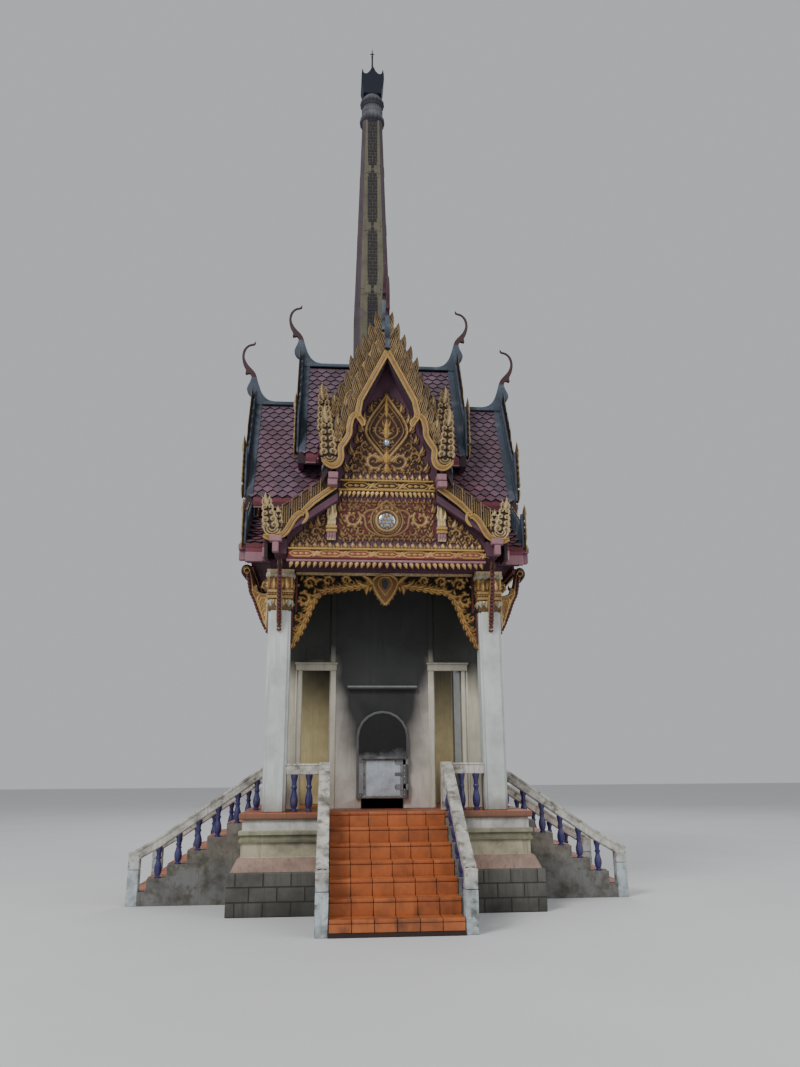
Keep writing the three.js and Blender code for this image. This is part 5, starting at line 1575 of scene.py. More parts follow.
def eave_bracket(bm):
    """The bracket on each outer face of the front left column, seen from its side."""
    part = bmesh.new()
    neck = smooth_line(NAGA_NECK, 3)
    wide = smooth_line(NAGA_WIDE, 3)
    carve(part, [(neck, wide)], 0, 0.75, 0)
    body = [NAGA_BODY[0]] + smooth_line(NAGA_BODY[1:-1], 3) + [NAGA_BODY[-1]]
    plate(part, [(p.real, p.imag) for p in body], -0.03, 0.03, 0.01, 2)
    plate(part, [(p.real, p.imag) for p in NAGA_CURL], -0.026, 0.026, 0.008, 2)
    for face in (-0.03, 0.03):
        strokes = [band([p - 0.022 for p in smooth_line(NAGA_BODY[1:6], 3)], 0.032)]
        strokes.append(band(smooth_line([2.16 + 4.86j, 2.06 + 4.8j, 1.94 + 4.79j], 3), 0.03))
        strokes += [leaf(complex(1.93 + 0.034 * i, 4.28 + 0.09 * i), complex(1.93 + 0.026 * i, 4.5 + 0.075 * i),
                         -0.25, 0.055, 7) for i in range(5)]
        strokes += leafy_scroll(1.965 + 4.95j, 0.065, -80, 420, 0.032, 4)
        strokes += leafy_scroll(1.99 + 4.68j, 0.07, -60, 420, 0.034, 5)
        strokes.append(arc(2.285 + 5.19j, 0.045, 200, -330, 0.02))
        carve(part, strokes, face, 0.55, 0)
    carve(part, [leaf(2.12 + 4.9j, 2.095 + 5.0j, 0.2, 0.045)], 0, 0.9, 0)
    # The outer rim, with a row of dark red beads
    rim = [p + 0.012 for p in smooth_line(NAGA_BODY[:6], 4)] + [p + 0.05 for p in neck[3:12]]
    carve(part, [(rim, [0.05] * len(rim))], 0, 0.8, 0)
    beads = [leaf(at - rect(0.036, radians(angle)), at + rect(0.036, radians(angle)), 0, 0.066, 6)
             for at, angle in spaced(rim, 0.062)]
    carve(part, beads, 0, 1.25, 3)
    mesh = bpy.data.meshes.new("bracket")
    part.to_mesh(mesh)
    part.free()
    to_front = Matrix(((0, 1, 0, -COLUMN_CENTRE), (-1, 0, 0, 0), (0, 0, 1, 0), (0, 0, 0, 1)))
    to_left = Matrix(((-1, 0, 0, 0), (0, 1, 0, -COLUMN_CENTRE), (0, 0, 1, 0), (0, 0, 0, 1)))
    stamp(bm, mesh, to_front)
    stamp(bm, mesh, to_left)
    bpy.data.meshes.remove(mesh)


def capital_face(bm):
    """Petals and ornament of one face of a capital, round the column's axis."""
    part = bmesh.new()
    carve(part, petal_row(-0.19, 0.19, 4.68, 4.56, 4, 0.1), -0.19, 0.5, 4)
    carve(part, petal_row(-0.14, 0.14, 4.68, 4.6, 3, 0.06), -0.2, 0.5, 0)
    carve(part, petal_row(-0.22, 0.22, 5.05, 5.17, 4, 0.12), -0.21, 0.5, 4)
    carve(part, petal_row(-0.19, 0.19, 4.85, 5.06, 2, 0.1), -0.195, 0.5, 0)
    carve(part, leafy_scroll(-0.09 + 4.93j, 0.045, 90, 400, 0.022, 4) + leafy_scroll(0.09 + 4.93j, 0.045, 90, -400, 0.022, 4),
          -0.2, 0.7, 0)
    carve(part, petal_row(-0.2, 0.2, 4.785, 4.76, 9, 0.04), -0.2, 0.7, 0)
    carve(part, [leaf(4.86j, 5.1j, 0, 0.12)] + [band([complex(x, 4.87), complex(x, 5.06)], 0.03)
                                                for x in (-0.18, 0.18)], -0.196, 0.6, 0)
    mesh = bpy.data.meshes.new("face")
    part.to_mesh(mesh)
    part.free()
    centre = Matrix.Translation((-COLUMN_CENTRE, -COLUMN_CENTRE, 0))
    for angle in (0, 90, 180, 270):
        stamp(bm, mesh, centre @ turned(angle))
    bpy.data.meshes.remove(mesh)


class SHRINE_OT_capitals(bpy.types.Operator):
    """Build the lotus capitals with their eave brackets"""
    bl_idname = "shrine.capitals"
    bl_label = "Capitals and brackets"

    def execute(self, context):
        bm = bmesh.new()
        core = [
            (0, CAPITAL_Z), (0.184, CAPITAL_Z), (0.186, 4.69), (0.204, 4.7), (0.21, 4.72), (0.204, 4.745),
            (0.188, 4.755), (0.188, 4.785), (0.206, 4.795), (0.212, 4.815), (0.206, 4.84), (0.188, 4.85),
            (0.19, 5.05), (0.2, 5.08), (0.215, 5.12), (0.22, 5.1797), (0, 5.1797),
        ]
        square_tower(bm, core, (-COLUMN_CENTRE, -COLUMN_CENTRE), 2)
        capital_face(bm)
        eave_bracket(bm)
        mesh = new_mesh("capital", bm, ["gold", "gold_plain", "gold_old", "dark_red", "worn"])
        # Relief for the gold's painted shade and highlight: the bracket's strokes lighter the further out, the core's
        # rings lighter than its recesses
        layer = mesh.attributes.new("relief", "FLOAT", "POINT")
        for vertex, value in zip(mesh.vertices, layer.data):
            low, high = sorted((abs(vertex.co.x + COLUMN_CENTRE), abs(vertex.co.y + COLUMN_CENTRE)))
            value.value = (low - 0.022) / 0.022 if high > 0.24 else 0.35 + (high - 0.186) / 0.05
        on_each(CORNERS, "lotus_capital", mesh, "gold", replaced=["capital"])
        return {"FINISHED"}


VALANCE_FIELD = [0.2 + 5.13j, 0.24 + 4.95j, 0.4 + 4.93j, 0.57 + 4.9j, 0.81 + 4.87j, 0.98 + 4.85j, 1.13 + 4.76j,
                 1.22 + 4.6j, 1.29 + 4.44j, 1.36 + 4.2j, 1.45 + 4.06j, 1.53 + 3.99j, 1.53 + 5.13j]


VALANCE_EDGE = [0.22 + 4.99j, 0.4 + 4.96j, 0.57 + 4.94j, 0.81 + 4.9j, 0.98 + 4.88j, 1.11 + 4.8j,
                1.2 + 4.67j, 1.27 + 4.51j, 1.34 + 4.33j, 1.42 + 4.16j, 1.5 + 4.03j]


def valance_strokes():
    """Right half of the openwork that hangs between two columns."""
    lower = smooth_line(VALANCE_EDGE, 3)
    strokes = [(lower, [0.04] * len(lower))]
    for i, (at, angle) in enumerate(spaced(lower, 0.098)):
        droop = 56 if angle > -35 else 44
        strokes += thicker(moved(FLAME, at + 0.03j, 0.19 if i % 2 else 0.15, angle - droop, mirror=True), 1.15)
    for at, angle in spaced(lower, 0.115):
        strokes += thicker(moved(FLAME, at, 0.24, angle + 40), 1.2)
    strokes += leafy_scroll(1.35 + 4.72j, 0.12, 60, 470, 0.09, 7)
    strokes += leafy_scroll(1.25 + 5.0j, 0.105, 200, -470, 0.085, 7)
    strokes += leafy_scroll(0.95 + 5.04j, 0.085, 200, -440, 0.075, 6)
    strokes += leafy_scroll(0.66 + 5.06j, 0.072, 220, -440, 0.068, 6)
    strokes += leafy_scroll(1.44 + 4.43j, 0.07, 100, 430, 0.055, 6)
    strokes += leafy_scroll(1.48 + 4.24j, 0.045, 100, 420, 0.045, 5)
    strokes += [leaf(0.2 + 4.98j, 0.42 + 5.14j, 0.12, 0.12), leaf(0.26 + 4.95j, 0.52 + 5.11j, -0.15, 0.1),
                leaf(0.27 + 4.97j, 0.305 + 4.79j, 0.12, 0.1), leaf(0.22 + 4.96j, 0.25 + 4.84j, 0.1, 0.07)]
    return strokes


class SHRINE_OT_valances(bpy.types.Operator):
    """Build the openwork valances with their pendants"""
    bl_idname = "shrine.valances"
    bl_label = "Valances"

    def execute(self, context):
        bm = bmesh.new()
        plane = -COLUMN_CENTRE
        strokes = valance_strokes()
        strokes += thicker(grown(strokes, VALANCE_FIELD, 0.6 + 4.2j, 0.12, 0.11), 1.3)
        carve(bm, strokes, plane, 1.0, 0, both_ways=True)
        edge = smooth_line(VALANCE_EDGE, 2)
        web = [(p.real, p.imag - 0.02) for p in edge] + [(p.real, p.imag + 0.05) for p in reversed(edge)]
        for outline in (web, [(-x, z) for x, z in reversed(web)]):
            plate(bm, outline, plane - 0.012, plane + 0.012, 0, 2)
        outer = smooth_line([0.0 + 5.16j, 0.12 + 5.13j, 0.2 + 5.05j, 0.19 + 4.95j, 0.11 + 4.79j, 4.64j], 4)
        inner = smooth_line([5.11j, 0.06 + 5.1j, 0.11 + 5.03j, 0.1 + 4.94j, 4.8j], 4)
        strokes = [(outer, [0.075] * len(outer)), (inner, [0.055] * len(inner))]
        strokes += [leaf(p, p + 0.045 - 0.06j, -0.2, 0.045, 5) for p in outer[8:-2:2]]
        carve(bm, strokes, plane, 1.2, 0, both_ways=True)
        for points, half, material in (
                ([5.14j, 0.1 + 5.12j, 0.18 + 5.04j, 0.17 + 4.95j, 0.1 + 4.8j, 4.67j], 0.018, 2),
                ([5.07j, 0.038 + 5.04j, 0.048 + 4.99j, 0.034 + 4.93j, 4.89j], 0.034, 6)):
            line = [(p.real, p.imag) for p in smooth_line(points, 3)]
            plate(bm, line + [(-x, z) for x, z in reversed(line[1:-1])], plane - half, plane + half, 0.003, material)
        block(bm, (-1.4797, plane - 0.03, 5.13), (1.4797, plane + 0.03, 5.1797), 0.006, 2)
        for s in (-1, 1):
            low, high = sorted((s * 1.507, s * 1.5397))
            block(bm, (low, plane - 0.035, 3.985), (high, plane + 0.035, CAPITAL_Z - 0.0003), 0.006, 3)
            low, high = sorted((s * 1.45, s * 1.4797))
            block(bm, (low, plane - 0.035, CAPITAL_Z), (high, plane + 0.035, 5.14), 0.004, 3)
        mesh = new_mesh("valance", bm, ["gold", "gold_plain", "gold_deep", "dark_red", "pink", "oxblood", "gem"])
        # Relief for the gold's painted shade and highlight: darker near the middle plane, lighter on the faces of the
        # strokes
        layer = mesh.attributes.new("relief", "FLOAT", "POINT")
        for vertex, value in zip(mesh.vertices, layer.data):
            value.value = min(1, 0.1 + abs(vertex.co.y - plane) / 0.03)
        on_each(SIDES, "openwork_valance", mesh, "gold", replaced=["valance"])
        return {"FINISHED"}


class SHRINE_OT_furnace(bpy.types.Operator):
    """Frame the doorways and the furnace mouth, and fit the furnace door with plates and rivets"""
    bl_idname = "shrine.furnace"
    bl_label = "Furnace"

    def execute(self, context):
        wall = -0.9
        bm = bmesh.new()
        for s in (-1, 1):
            def strip(x0, x1, z0, z1, proud, material=0):
                low, high = sorted((s * x0, s * x1))
                block(bm, (low, wall - proud, z0), (high, wall + 0.002, z1), 0.008, material)
            strip(0.79, 0.885, FLOOR_Z + 0.001, 3.66, 0.022)
            strip(1.365, 1.43, FLOOR_Z + 0.001, 3.66, 0.022)
            strip(1.45, 1.475, FLOOR_Z + 0.001, 3.66, 0.012)
            strip(0.8, 0.88, 3.79, 5.1, 0.016)
            strip(0.78, 1.47, 3.65, 3.76, 0.04)
            strip(0.76, 1.49, 3.755, 3.79, 0.055)
            crest = leafy_scroll(0.13j, 0.1, -90, 450, 0.035, 6) + moved(FLAME, 0.09 + 0.02j, 0.2, 84)
            crest = [([p + 1.13 + 3.83j for p in line], widths) for line, widths in crest + flipped(crest)]
            carve(bm, crest if s > 0 else flipped(crest), wall - 0.004, 0.4, 1)
        place("doorway_frames", new_mesh("frames", bm, ["trim", "screen"]), "plaster")
        door_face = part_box("furnace_door")[0].y
        leaf_face = -0.9963
        bm = bmesh.new()
        block(bm, (-0.27, leaf_face - 0.006, 1.6), (0.29, leaf_face + 0.002, 2.16), 0.003, 0)
        for low, high in (((-0.385, 1.585), (-0.335, 2.18)), ((0.335, 1.585), (0.385, 2.18))):
            block(bm, (low[0], leaf_face - 0.012, low[1]), (high[0], leaf_face + 0.002, high[1]), 0.003, 1)
        for z in (1.74, 1.94, 2.14):
            block(bm, (0.2, leaf_face - 0.01, z - 0.03), (0.39, leaf_face + 0.001, z + 0.03), 0.004, 1)
            block(bm, (-0.39, leaf_face - 0.01, z - 0.026), (-0.29, leaf_face + 0.001, z + 0.026), 0.004, 1)
        rivets = [(x, z) for x in (-0.36, 0.36) for z in (1.62, 1.7, 1.82, 1.9, 2.0, 2.08)]
        rivets += [(x / 10, z) for x in range(-3, 4) for z in (1.595, 2.17)]
        for x, z in rivets:
            bmesh.ops.create_icosphere(bm, subdivisions=1, radius=0.011,
                                       matrix=Matrix.Translation((x, leaf_face - 0.01, z)))
        if door_face > leaf_face:
            raise RuntimeError("The door fittings would stand clear of the door")
        place("furnace_door_fittings", new_mesh("fittings", bm, ["door_plate", "steel"]), "steel", body="door")
        bm = bmesh.new()
        block(bm, (-0.592, wall - 0.074, 3.362), (0.592, wall - 0.066, 3.392), 0.002, 0)
        place("furnace_ledge_edge", new_mesh("ledge", bm, ["ledge"]), "plaster")
        return {"FINISHED"}


class SHRINE_OT_steps(bpy.types.Operator):
    """Lay the tiles of the three flights"""
    bl_idname = "shrine.steps"
    bl_label = "Steps"

    def execute(self, context):
        size = context.scene.shrine_sizes.step_tile
        half = STAIR_HALF - 0.005
        count = max(1, round(2 * half / size))
        pitch = 2 * half / count
        joint = 0.004
        tiles = bmesh.new()
        lips = bmesh.new()
        for i in range(1, RISERS + 1):
            face = -STAIR_FOOT + 0.025 + TREAD * (i - 1)
            top = RISER * i
            low = top - RISER + (0.055 if i == 1 else 0.004)
            for k in range(count):
                x0 = -half + pitch * k + joint
                x1 = -half + pitch * (k + 1) - joint
                block(tiles, (x0, face - 0.012, low), (x1, face + 0.004, top - 0.042), 0.003)
                block(lips, (x0, face - 0.02, top - 0.038), (x1, face + 0.035, top + 0.007), 0.007, 0, 2)
                if i < RISERS:
                    block(tiles, (x0, face + 0.039, top - 0.004), (x1, face + TREAD - 0.014, top + 0.006), 0.003)
        mesh = new_mesh("step tiles", tiles, ["step"])
        write_tones(mesh, 5)
        on_each({s: SIDES[s] for s in STAIRS}, "step_tiles", mesh, "stair_tile")
        mesh = new_mesh("step nosings", lips, ["nosing"])
        write_tones(mesh, 9)
        on_each({s: SIDES[s] for s in STAIRS}, "step_nosings", mesh, "stair_tile")
        for side in STAIRS:
            dress(f"{side}_steps", "grout")
        return {"FINISHED"}


# Balustrade sizes
NEWEL_SIDE = 0.17
NEWEL_OUT = COLUMN_CENTRE + COLUMN_HALF
NEWEL_LOW = 0.79
RAIL_TALL = 0.165
RAIL_TOP = FLOOR_Z + 0.71
RAIL_LINE = [(NEWEL_OUT - NEWEL_SIDE, RAIL_TOP), (NEWEL_OUT, RAIL_TOP), (3.48, 1.05), (3.83, 0.85), (3.915, 0.805)]
BALUSTER = [(0, 0), (0.05, 0), (0.05, 0.05), (0.036, 0.07), (0.036, 0.1), (0.05, 0.14), (0.06, 0.26), (0.058, 0.36),
            (0.042, 0.48), (0.034, 0.55), (0.034, 0.6), (0.045, 0.63), (0.045, 0.67), (0.033, 0.7), (0.036, 0.8),
            (0.05, 0.9), (0.054, 0.94), (0.054, 1.0), (0, 1.0)]


def rail_height(reach):
    for (d0, z0), (d1, z1) in zip(RAIL_LINE, RAIL_LINE[1:]):
        if reach <= d1:
            return z0 + (z1 - z0) * (reach - d0) / (d1 - d0)
    return RAIL_LINE[-1][1]


def baluster(bm, x, y, low, high):
    lathe(bm, [(r, low + (high - low) * share) for r, share in BALUSTER], 14, (x, y), 0, 1)


def stair_line():
    """The stepped side wall of a flight, as distances outwards and heights."""
    foot = 3.995
    points = [(foot, 0.001)]
    for i in range(1, RISERS):
        points += [(min(foot, 4.0 - TREAD * (i - 1)), RISER * i), (4.0 - TREAD * i, RISER * i)]
    return points + [(PLATFORM_EDGE, FLOOR_Z - 0.0903), (PLATFORM_EDGE - 0.1, FLOOR_Z - 0.0903),
                     (PLATFORM_EDGE - 0.1, 0.001)]


def balustrade(bm):
    """Balustrade on the +x side of the front flight."""
    x0, x1 = STAIR_HALF + 0.0003, STAIR_HALF + CHEEK
    middle = (x0 + x1) / 2
    to_side = Matrix(((0, 1, 0, 0), (-1, 0, 0, 0), (0, 0, 1, 0), (0, 0, 0, 1)))

    def side_plate(outline, near, far, bevel, material):
        part = bmesh.new()
        plate(part, outline, near, far, bevel, material)
        mesh = bpy.data.meshes.new("part")
        part.to_mesh(mesh)
        part.free()
        stamp(bm, mesh, to_side)
        bpy.data.meshes.remove(mesh)
    side_plate(stair_line(), x0 + 0.0005, x1 - 0.006, 0.004, 2)
    upper = RAIL_LINE
    rail = upper + [(d, z - RAIL_TALL) for d, z in reversed(upper)]
    side_plate(rail, x0 + 0.012, x1 - 0.012, 0.014, 0)
    cap = [(d, z + 0.012) for d, z in upper] + [(d, z - 0.04) for d, z in reversed(upper)]
    side_plate(cap, x0 + 0.002, x1 - 0.002, 0.008, 0)
    block(bm, (x0, -NEWEL_OUT, FLOOR_Z + 0.0003), (x1, NEWEL_SIDE - NEWEL_OUT, RAIL_TOP + 0.018), 0.01, 0)
    foot = 4.0
    block(bm, (x0, -foot, 0), (x1, NEWEL_SIDE - foot, NEWEL_LOW - 0.265), 0.008, 0)
    block(bm, (x0, -foot, NEWEL_LOW - 0.258), (x1, NEWEL_SIDE - foot, NEWEL_LOW - 0.03), 0.008, 0)
    peak = [(x0 - 0.004, NEWEL_LOW - 0.04), (x1 + 0.004, NEWEL_LOW - 0.04), (x1 + 0.004, NEWEL_LOW - 0.02),
            (middle, NEWEL_LOW), (x0 - 0.004, NEWEL_LOW - 0.02)]
    plate(bm, peak, -foot - 0.004, NEWEL_SIDE - foot, 0.004, 0)
    edge_y = -(NEWEL_OUT - NEWEL_SIDE / 2)
    edge_end = COLUMN_CENTRE - COLUMN_HALF - 0.0003
    block(bm, (middle, edge_y - 0.06, RAIL_TOP - RAIL_TALL), (edge_end, edge_y + 0.06, RAIL_TOP - 0.03), 0.01, 0)
    block(bm, (middle, edge_y - 0.07, RAIL_TOP - 0.035), (edge_end, edge_y + 0.07, RAIL_TOP), 0.01, 0)
    for i in range(2, RISERS):
        reach = 4.0 - TREAD * (i - 0.5)
        baluster(bm, middle, -reach, RISER * i, rail_height(reach) - RAIL_TALL + 0.02)
    landing = (NEWEL_OUT + PLATFORM_EDGE) / 2
    baluster(bm, middle, -landing, FLOOR_Z + 0.0003, rail_height(landing) - RAIL_TALL + 0.02)
    for share in (0.3, 0.75):
        baluster(bm, x1 + share * (edge_end - x1), edge_y, FLOOR_Z + 0.0003, RAIL_TOP - RAIL_TALL + 0.01)


class SHRINE_OT_balustrades(bpy.types.Operator):
    """Build the six stair balustrades with their turned balusters"""
    bl_idname = "shrine.balustrades"
    bl_label = "Balustrades"

    def execute(self, context):
        bm = bmesh.new()
        balustrade(bm)
        right = new_mesh("balustrade", bm, ["mossy", "violet", "cheek"])
        left = right.copy()
        left.transform(Matrix.Diagonal((-1, 1, 1, 1)))
        left.flip_normals()
        places = {"front_right": (right, 0), "front_left": (left, 0), "left_front": (right, -90),
                  "left_rear": (left, -90), "right_front": (left, 90), "right_rear": (right, 90)}
        for name, (mesh, angle) in places.items():
            copy = mesh.copy()
            copy.transform(turned(angle))
            place(f"{name}_rail_and_balusters", copy, "weathered", replaced=[f"{name}_balustrade"])
        return {"FINISHED"}


class SHRINE_OT_chimney(bpy.types.Operator):
    """Dress the chimney: frames, vent blocks, collar and metal crown"""
    bl_idname = "shrine.chimney"
    bl_label = "Chimney"

    def execute(self, context):
        row = context.scene.shrine_sizes.vent_row
        frames = bmesh.new()
        vents = bmesh.new()
        def face_half(z):
            if z < SHAFT_BEND:
                return SHAFT_HALF
            share = (z - SHAFT_BEND) / (SHAFT_TOP - SHAFT_BEND)
            return SHAFT_HALF + (SHAFT_TOP_HALF - SHAFT_HALF) * share
        breaks = [COLLAR_Z + 0.25, 17.1, 15.33, 13.48, 11.63, 9.78, 7.93, 6.08, 4.23, 2.6]
        for top, low in zip(breaks, breaks[1:]):
            add_vent_panel(frames, vents, face_half, low, top, row)
        for kind, bm, finish_name in (("faces", frames, "shaft_frame"), ("vents", vents, "vent")):
            one = bpy.data.meshes.new(kind)
            bm.to_mesh(one)
            bm.free()
            whole = bmesh.new()
            for angle in (0, 90, 180, 270):
                stamp(whole, one, Matrix.Translation((0, CHIMNEY_Y, 0)) @ turned(angle))
            bpy.data.meshes.remove(one)
            place(f"chimney_{kind}", new_mesh(kind, whole, [finish_name]), "shaft_paint")
        bm = bmesh.new()
        collar = [(out, COLLAR_Z + rise) for out, rise in COLLAR]
        lathe(bm, [(0, COLLAR_Z)] + collar + [(0, collar[-1][1])], 32, (0, CHIMNEY_Y))
        for out, rise, tall, wide, count in LOBES:
            for i in range(count):
                turn = rect(out, 2 * pi * i / count)
                middle = Vector((turn.real, turn.imag + CHIMNEY_Y, COLLAR_Z + rise))
                lobe = Matrix.Translation(middle) @ Matrix.Diagonal((wide, wide, tall, 1))
                bmesh.ops.create_icosphere(bm, subdivisions=2, radius=1, matrix=lobe)
        shaft_neck(bm, face_half, SHAFT_TOP - 0.01, COLLAR_Z + 0.1)
        place("chimney_rings", new_mesh("rings", bm, ["ring", "shaft"]), "weathered", replaced=["chimney_collar"])
        bm = bmesh.new()
        crown(bm)
        place("chimney_crown", new_mesh("crown", bm, ["crown"]), "dark_metal", replaced=["chimney_cap"])
        return {"FINISHED"}


# Collar of the chimney: two swelling rings with a banded neck between them
COLLAR = [
    (0.268, 0), (0.29, 0.03), (0.312, 0.11), (0.315, 0.19), (0.302, 0.28), (0.285, 0.33), (0.27, 0.35),
    (0.27, 0.41), (0.284, 0.42), (0.284, 0.44), (0.268, 0.45), (0.268, 0.61), (0.286, 0.62), (0.286, 0.65),
    (0.3, 0.69), (0.306, 0.76), (0.296, 0.83), (0.262, 0.87), (0.236, 0.938),
]
# Lobes round the collar: distance out, height, half height, half width and number
LOBES = [(0.29, 0.17, 0.12, 0.046, 20), (0.283, 0.75, 0.085, 0.044, 20), (0.266, 0.53, 0.075, 0.017, 28)]
CROWN_HALF = [(CROWN_Z, 0.225), (19.72, 0.25), (19.87, 0.285), (20.0, 0.305), (20.15, 0.302), (20.34, 0.28)]
ROD_TOP = 21.3


def shaft_neck(bm, half, low, top):
    """The chamfered end of the shaft, which runs up under the collar."""
    cut = 0.74
    corners = [(1, -cut), (1, cut), (cut, 1), (-cut, 1), (-1, cut), (-1, -cut), (-cut, -1), (cut, -1)]
    foot = [bm.verts.new((a * half(low), b * half(low) + CHIMNEY_Y, low)) for a, b in corners]
    face = bm.faces.new(foot)
    raised = bmesh.ops.extrude_face_region(bm, geom=[face])["geom"]
    for vertex in [v for v in raised if isinstance(v, bmesh.types.BMVert)]:
        vertex.co.x *= half(top) / half(low)
        vertex.co.y = CHIMNEY_Y + (vertex.co.y - CHIMNEY_Y) * half(top) / half(low)
        vertex.co.z = top
    faces = list({f for v in raised if isinstance(v, bmesh.types.BMVert) for f in v.link_faces}) + [face]
    bmesh.ops.recalc_face_normals(bm, faces=faces)
    for f in faces:
        f.material_index = 1


def crown(bm):
    """Flared metal crown with a point at each corner and each face, and the rod on its cross bars."""
    def half(z):
        for (z0, h0), (z1, h1) in zip(CROWN_HALF, CROWN_HALF[1:]):
            if z <= z1:
                return h0 + (h1 - h0) * (z - z0) / (z1 - z0)
        return CROWN_HALF[-1][1]
    right = [(h, z) for z, h in CROWN_HALF]
    top = [(0.255, 20.22), (0.21, 20.17), (0.15, 20.18), (0.08, 20.27), (0.03, 20.4), (0, 20.46)]
    side = right + top
    outline = side + [(-x, z) for x, z in reversed(side[:-1])]
    part = bmesh.new()
    plate(part, outline, 0, 0.012)
    for vertex in part.verts:
        inset = 0.012 if vertex.co.y > 0.006 else 0
        vertex.co.x *= 1 - inset / half(vertex.co.z)
        vertex.co.y = -half(vertex.co.z) + inset
    block(part, (-0.24, -0.243, CROWN_Z + 0.01), (0.24, -0.224, CROWN_Z + 0.05), 0.004)
    mesh = bpy.data.meshes.new("face")
    part.to_mesh(mesh)
    part.free()
    for angle in (0, 90, 180, 270):
        stamp(bm, mesh, Matrix.Translation((0, CHIMNEY_Y, 0)) @ turned(angle))
    bpy.data.meshes.remove(mesh)
    for wide, deep in ((0.29, 0.02), (0.02, 0.29)):
        block(bm, (-wide, CHIMNEY_Y - deep, 19.95), (wide, CHIMNEY_Y + deep, 20.01), 0.004)
    rod = [(0, 19.86), (0.026, 19.86), (0.022, ROD_TOP - 0.3), (0.03, ROD_TOP - 0.27), (0.022, ROD_TOP - 0.24),
           (0.014, ROD_TOP - 0.12), (0.004, ROD_TOP), (0, ROD_TOP)]
    lathe(bm, rod, 10, (0, CHIMNEY_Y))
    block(bm, (-0.06, CHIMNEY_Y - 0.008, ROD_TOP - 0.19), (0.06, CHIMNEY_Y + 0.008, ROD_TOP - 0.166), 0.002)


def add_vent_panel(faces, vents, face_half, low, top, row):
    """One tall painted face with a pointed strip of vent blocks, on the front of the shaft."""
    strip = 0.128
    point = 0.2

    def put(bm, outline, proud, sunk, bevel):
        """A plate on the leaning face of the shaft."""
        part = bmesh.new()
        plate(part, outline, 0, sunk + proud, bevel)
        for vertex in part.verts:
            vertex.co.y += -face_half(vertex.co.z) - proud
        mesh = bpy.data.meshes.new("part")
        part.to_mesh(mesh)
        part.free()
        stamp(bm, mesh, Matrix.Identity(4))
        bpy.data.meshes.remove(mesh)
    high = min(top - 0.004, FACE_TOP)
    steps = [low + 0.004, (low + high) / 2, high]
    right = [(face_half(z) * 0.715, z) for z in steps]
    put(faces, right + [(-x, z) for x, z in reversed(right)], 0.01, 0.016, 0.003)
    for s in (-1, 1):
        wing = [(s * 0.03, low - 0.07), (s * 0.2, low - 0.16), (s * 0.2, low + 0.16), (s * 0.03, low + 0.07)]
        put(faces, wing if s > 0 else list(reversed(wing)), 0.022, 0.02, 0.003)
    margin = 0.02
    count = int((top - low - 2 * margin) / row)
    row = (top - low - 2 * margin) / count
    for i in range(count):
        z = low + margin + row * (i + 0.5)
        if z + row / 2 > FACE_TOP:
            break
        open_half = strip * min(1, (z - low) / point, (top - z) / point) - 0.008
        pitch = (0.128, 0.28, 0.086, 0.128)[i % 4]
        for k in (-2, -1, 0, 1):
            shift = 0.5 if i % 4 in (0, 1) else 0.0
            x0 = max(-open_half, (k + shift) * pitch + 0.008)
            x1 = min(open_half, (k + 1 + shift) * pitch - 0.008)
            if x1 - x0 < 0.02:
                continue
            low_edge, high_edge = z - row / 2 + 0.01, z + row / 2 - 0.01
            put(vents, [(x0, low_edge), (x1, low_edge), (x1, high_edge), (x0, high_edge)], 0.02, 0.012, 0)


# Camera that stands where the photograph was taken, from the width of the picture in pixels
PICTURE_WIDE = 800
FOCAL = 837.668
EYE = (-0.881, -15.371, 1.961)
YAW = 4.762
PITCH = 15.954
ROLL = 0.416
SENSOR = 36.0


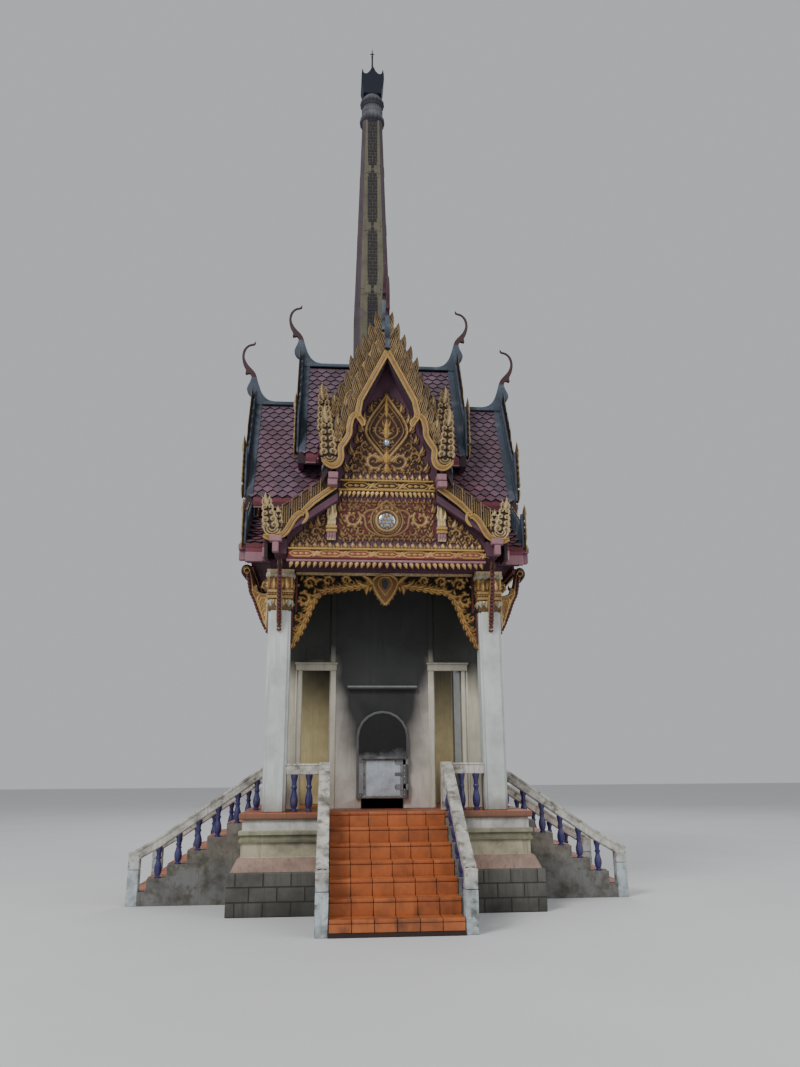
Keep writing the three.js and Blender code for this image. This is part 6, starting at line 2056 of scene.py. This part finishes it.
class SHRINE_OT_stage(bpy.types.Operator):
    """Set the camera, the soft light and the plain floor"""
    bl_idname = "shrine.stage"
    bl_label = "Stage"

    def execute(self, context):
        scene = context.scene
        data = bpy.data.cameras.new("camera")
        data.sensor_fit = "HORIZONTAL"
        data.sensor_width = SENSOR
        data.lens = FOCAL / PICTURE_WIDE * SENSOR
        data.clip_end = 500
        camera = bpy.data.objects.new("camera", data)
        scene.collection.objects.link(camera)
        look = (Matrix.Rotation(radians(-YAW), 4, "Z") @ Matrix.Rotation(radians(90 + PITCH), 4, "X")
                @ Matrix.Rotation(radians(-ROLL), 4, "Z"))
        camera.matrix_world = Matrix.Translation(EYE) @ look
        scene.camera = camera
        bm = bmesh.new()
        bmesh.ops.create_grid(bm, x_segments=1, y_segments=1, size=120)
        mesh = bpy.data.meshes.new("floor")
        bm.to_mesh(mesh)
        bm.free()
        material, tree, surface, spot = new_material("studio floor", specular=0.2)
        shade = fade(tree, noise(tree, spot, 0.3, 3), 0.3, 0.7, 0.6, 0.64)
        colour = node(tree, "ShaderNodeCombineColor", None, {0: shade, 1: shade, 2: shade}).outputs[0]
        finish(tree, surface, colour, 0.9)
        mesh.materials.append(material)
        floor = bpy.data.objects.new("studio_floor", mesh)
        scene.collection.objects.link(floor)
        world = bpy.data.worlds.new("studio")
        world.use_nodes = True
        world.node_tree.nodes["Background"].inputs["Color"].default_value = (0.78, 0.8, 0.84, 1)
        world.node_tree.nodes["Background"].inputs["Strength"].default_value = 0.62
        scene.world = world
        for name, at, size, power in (("key", (-15, -20, 24), 9, 6200), ("fill", (18, -14, 14), 14, 1500),
                                      ("back", (6, 24, 24), 14, 2400)):
            light = bpy.data.lights.new(name, "AREA")
            light.energy = power
            light.size = size
            lamp = bpy.data.objects.new(name, light)
            scene.collection.objects.link(lamp)
            lamp.location = at
            lamp.rotation_euler = (Vector((0, 0, 6)) - Vector(at)).to_track_quat("-Z", "Y").to_euler()
        return {"FINISHED"}


class SHRINE_PT_panel(bpy.types.Panel):
    """Sizes, colours and pieces of the shrine"""
    bl_idname = "SHRINE_PT_panel"
    bl_label = "Shrine"
    bl_space_type = "VIEW_3D"
    bl_region_type = "UI"
    bl_category = "Shrine"

    def draw(self, context):
        for settings in (context.scene.shrine_sizes, context.scene.shrine_colours):
            box = self.layout.box()
            for name in settings.__annotations__:
                box.prop(settings, name)
        for piece in PIECES:
            self.layout.operator(piece.bl_idname)


PIECES = (
    SHRINE_OT_stage, SHRINE_OT_finishes, SHRINE_OT_roof_scales, SHRINE_OT_bargeboards, SHRINE_OT_gables,
    SHRINE_OT_eaves, SHRINE_OT_capitals, SHRINE_OT_valances, SHRINE_OT_furnace, SHRINE_OT_steps,
    SHRINE_OT_balustrades, SHRINE_OT_chimney,
)
CLASSES = (ShrineSizes, ShrineColours) + PIECES + (SHRINE_PT_panel,)


def register():
    for cls in CLASSES:
        bpy.utils.register_class(cls)
    bpy.types.Scene.shrine_sizes = PointerProperty(type=ShrineSizes)
    bpy.types.Scene.shrine_colours = PointerProperty(type=ShrineColours)


def unregister():
    del bpy.types.Scene.shrine_colours
    del bpy.types.Scene.shrine_sizes
    for cls in reversed(CLASSES):
        bpy.utils.unregister_class(cls)


def main():
    register()
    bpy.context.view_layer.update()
    bpy.ops.shrine.stage()
    bpy.ops.shrine.finishes()
    bpy.ops.shrine.roof_scales()
    bpy.ops.shrine.bargeboards()
    bpy.ops.shrine.gables()
    bpy.ops.shrine.eaves()
    bpy.ops.shrine.capitals()
    bpy.ops.shrine.valances()
    bpy.ops.shrine.furnace()
    bpy.ops.shrine.steps()
    bpy.ops.shrine.balustrades()
    bpy.ops.shrine.chimney()


if __name__ == "__main__":
    main()
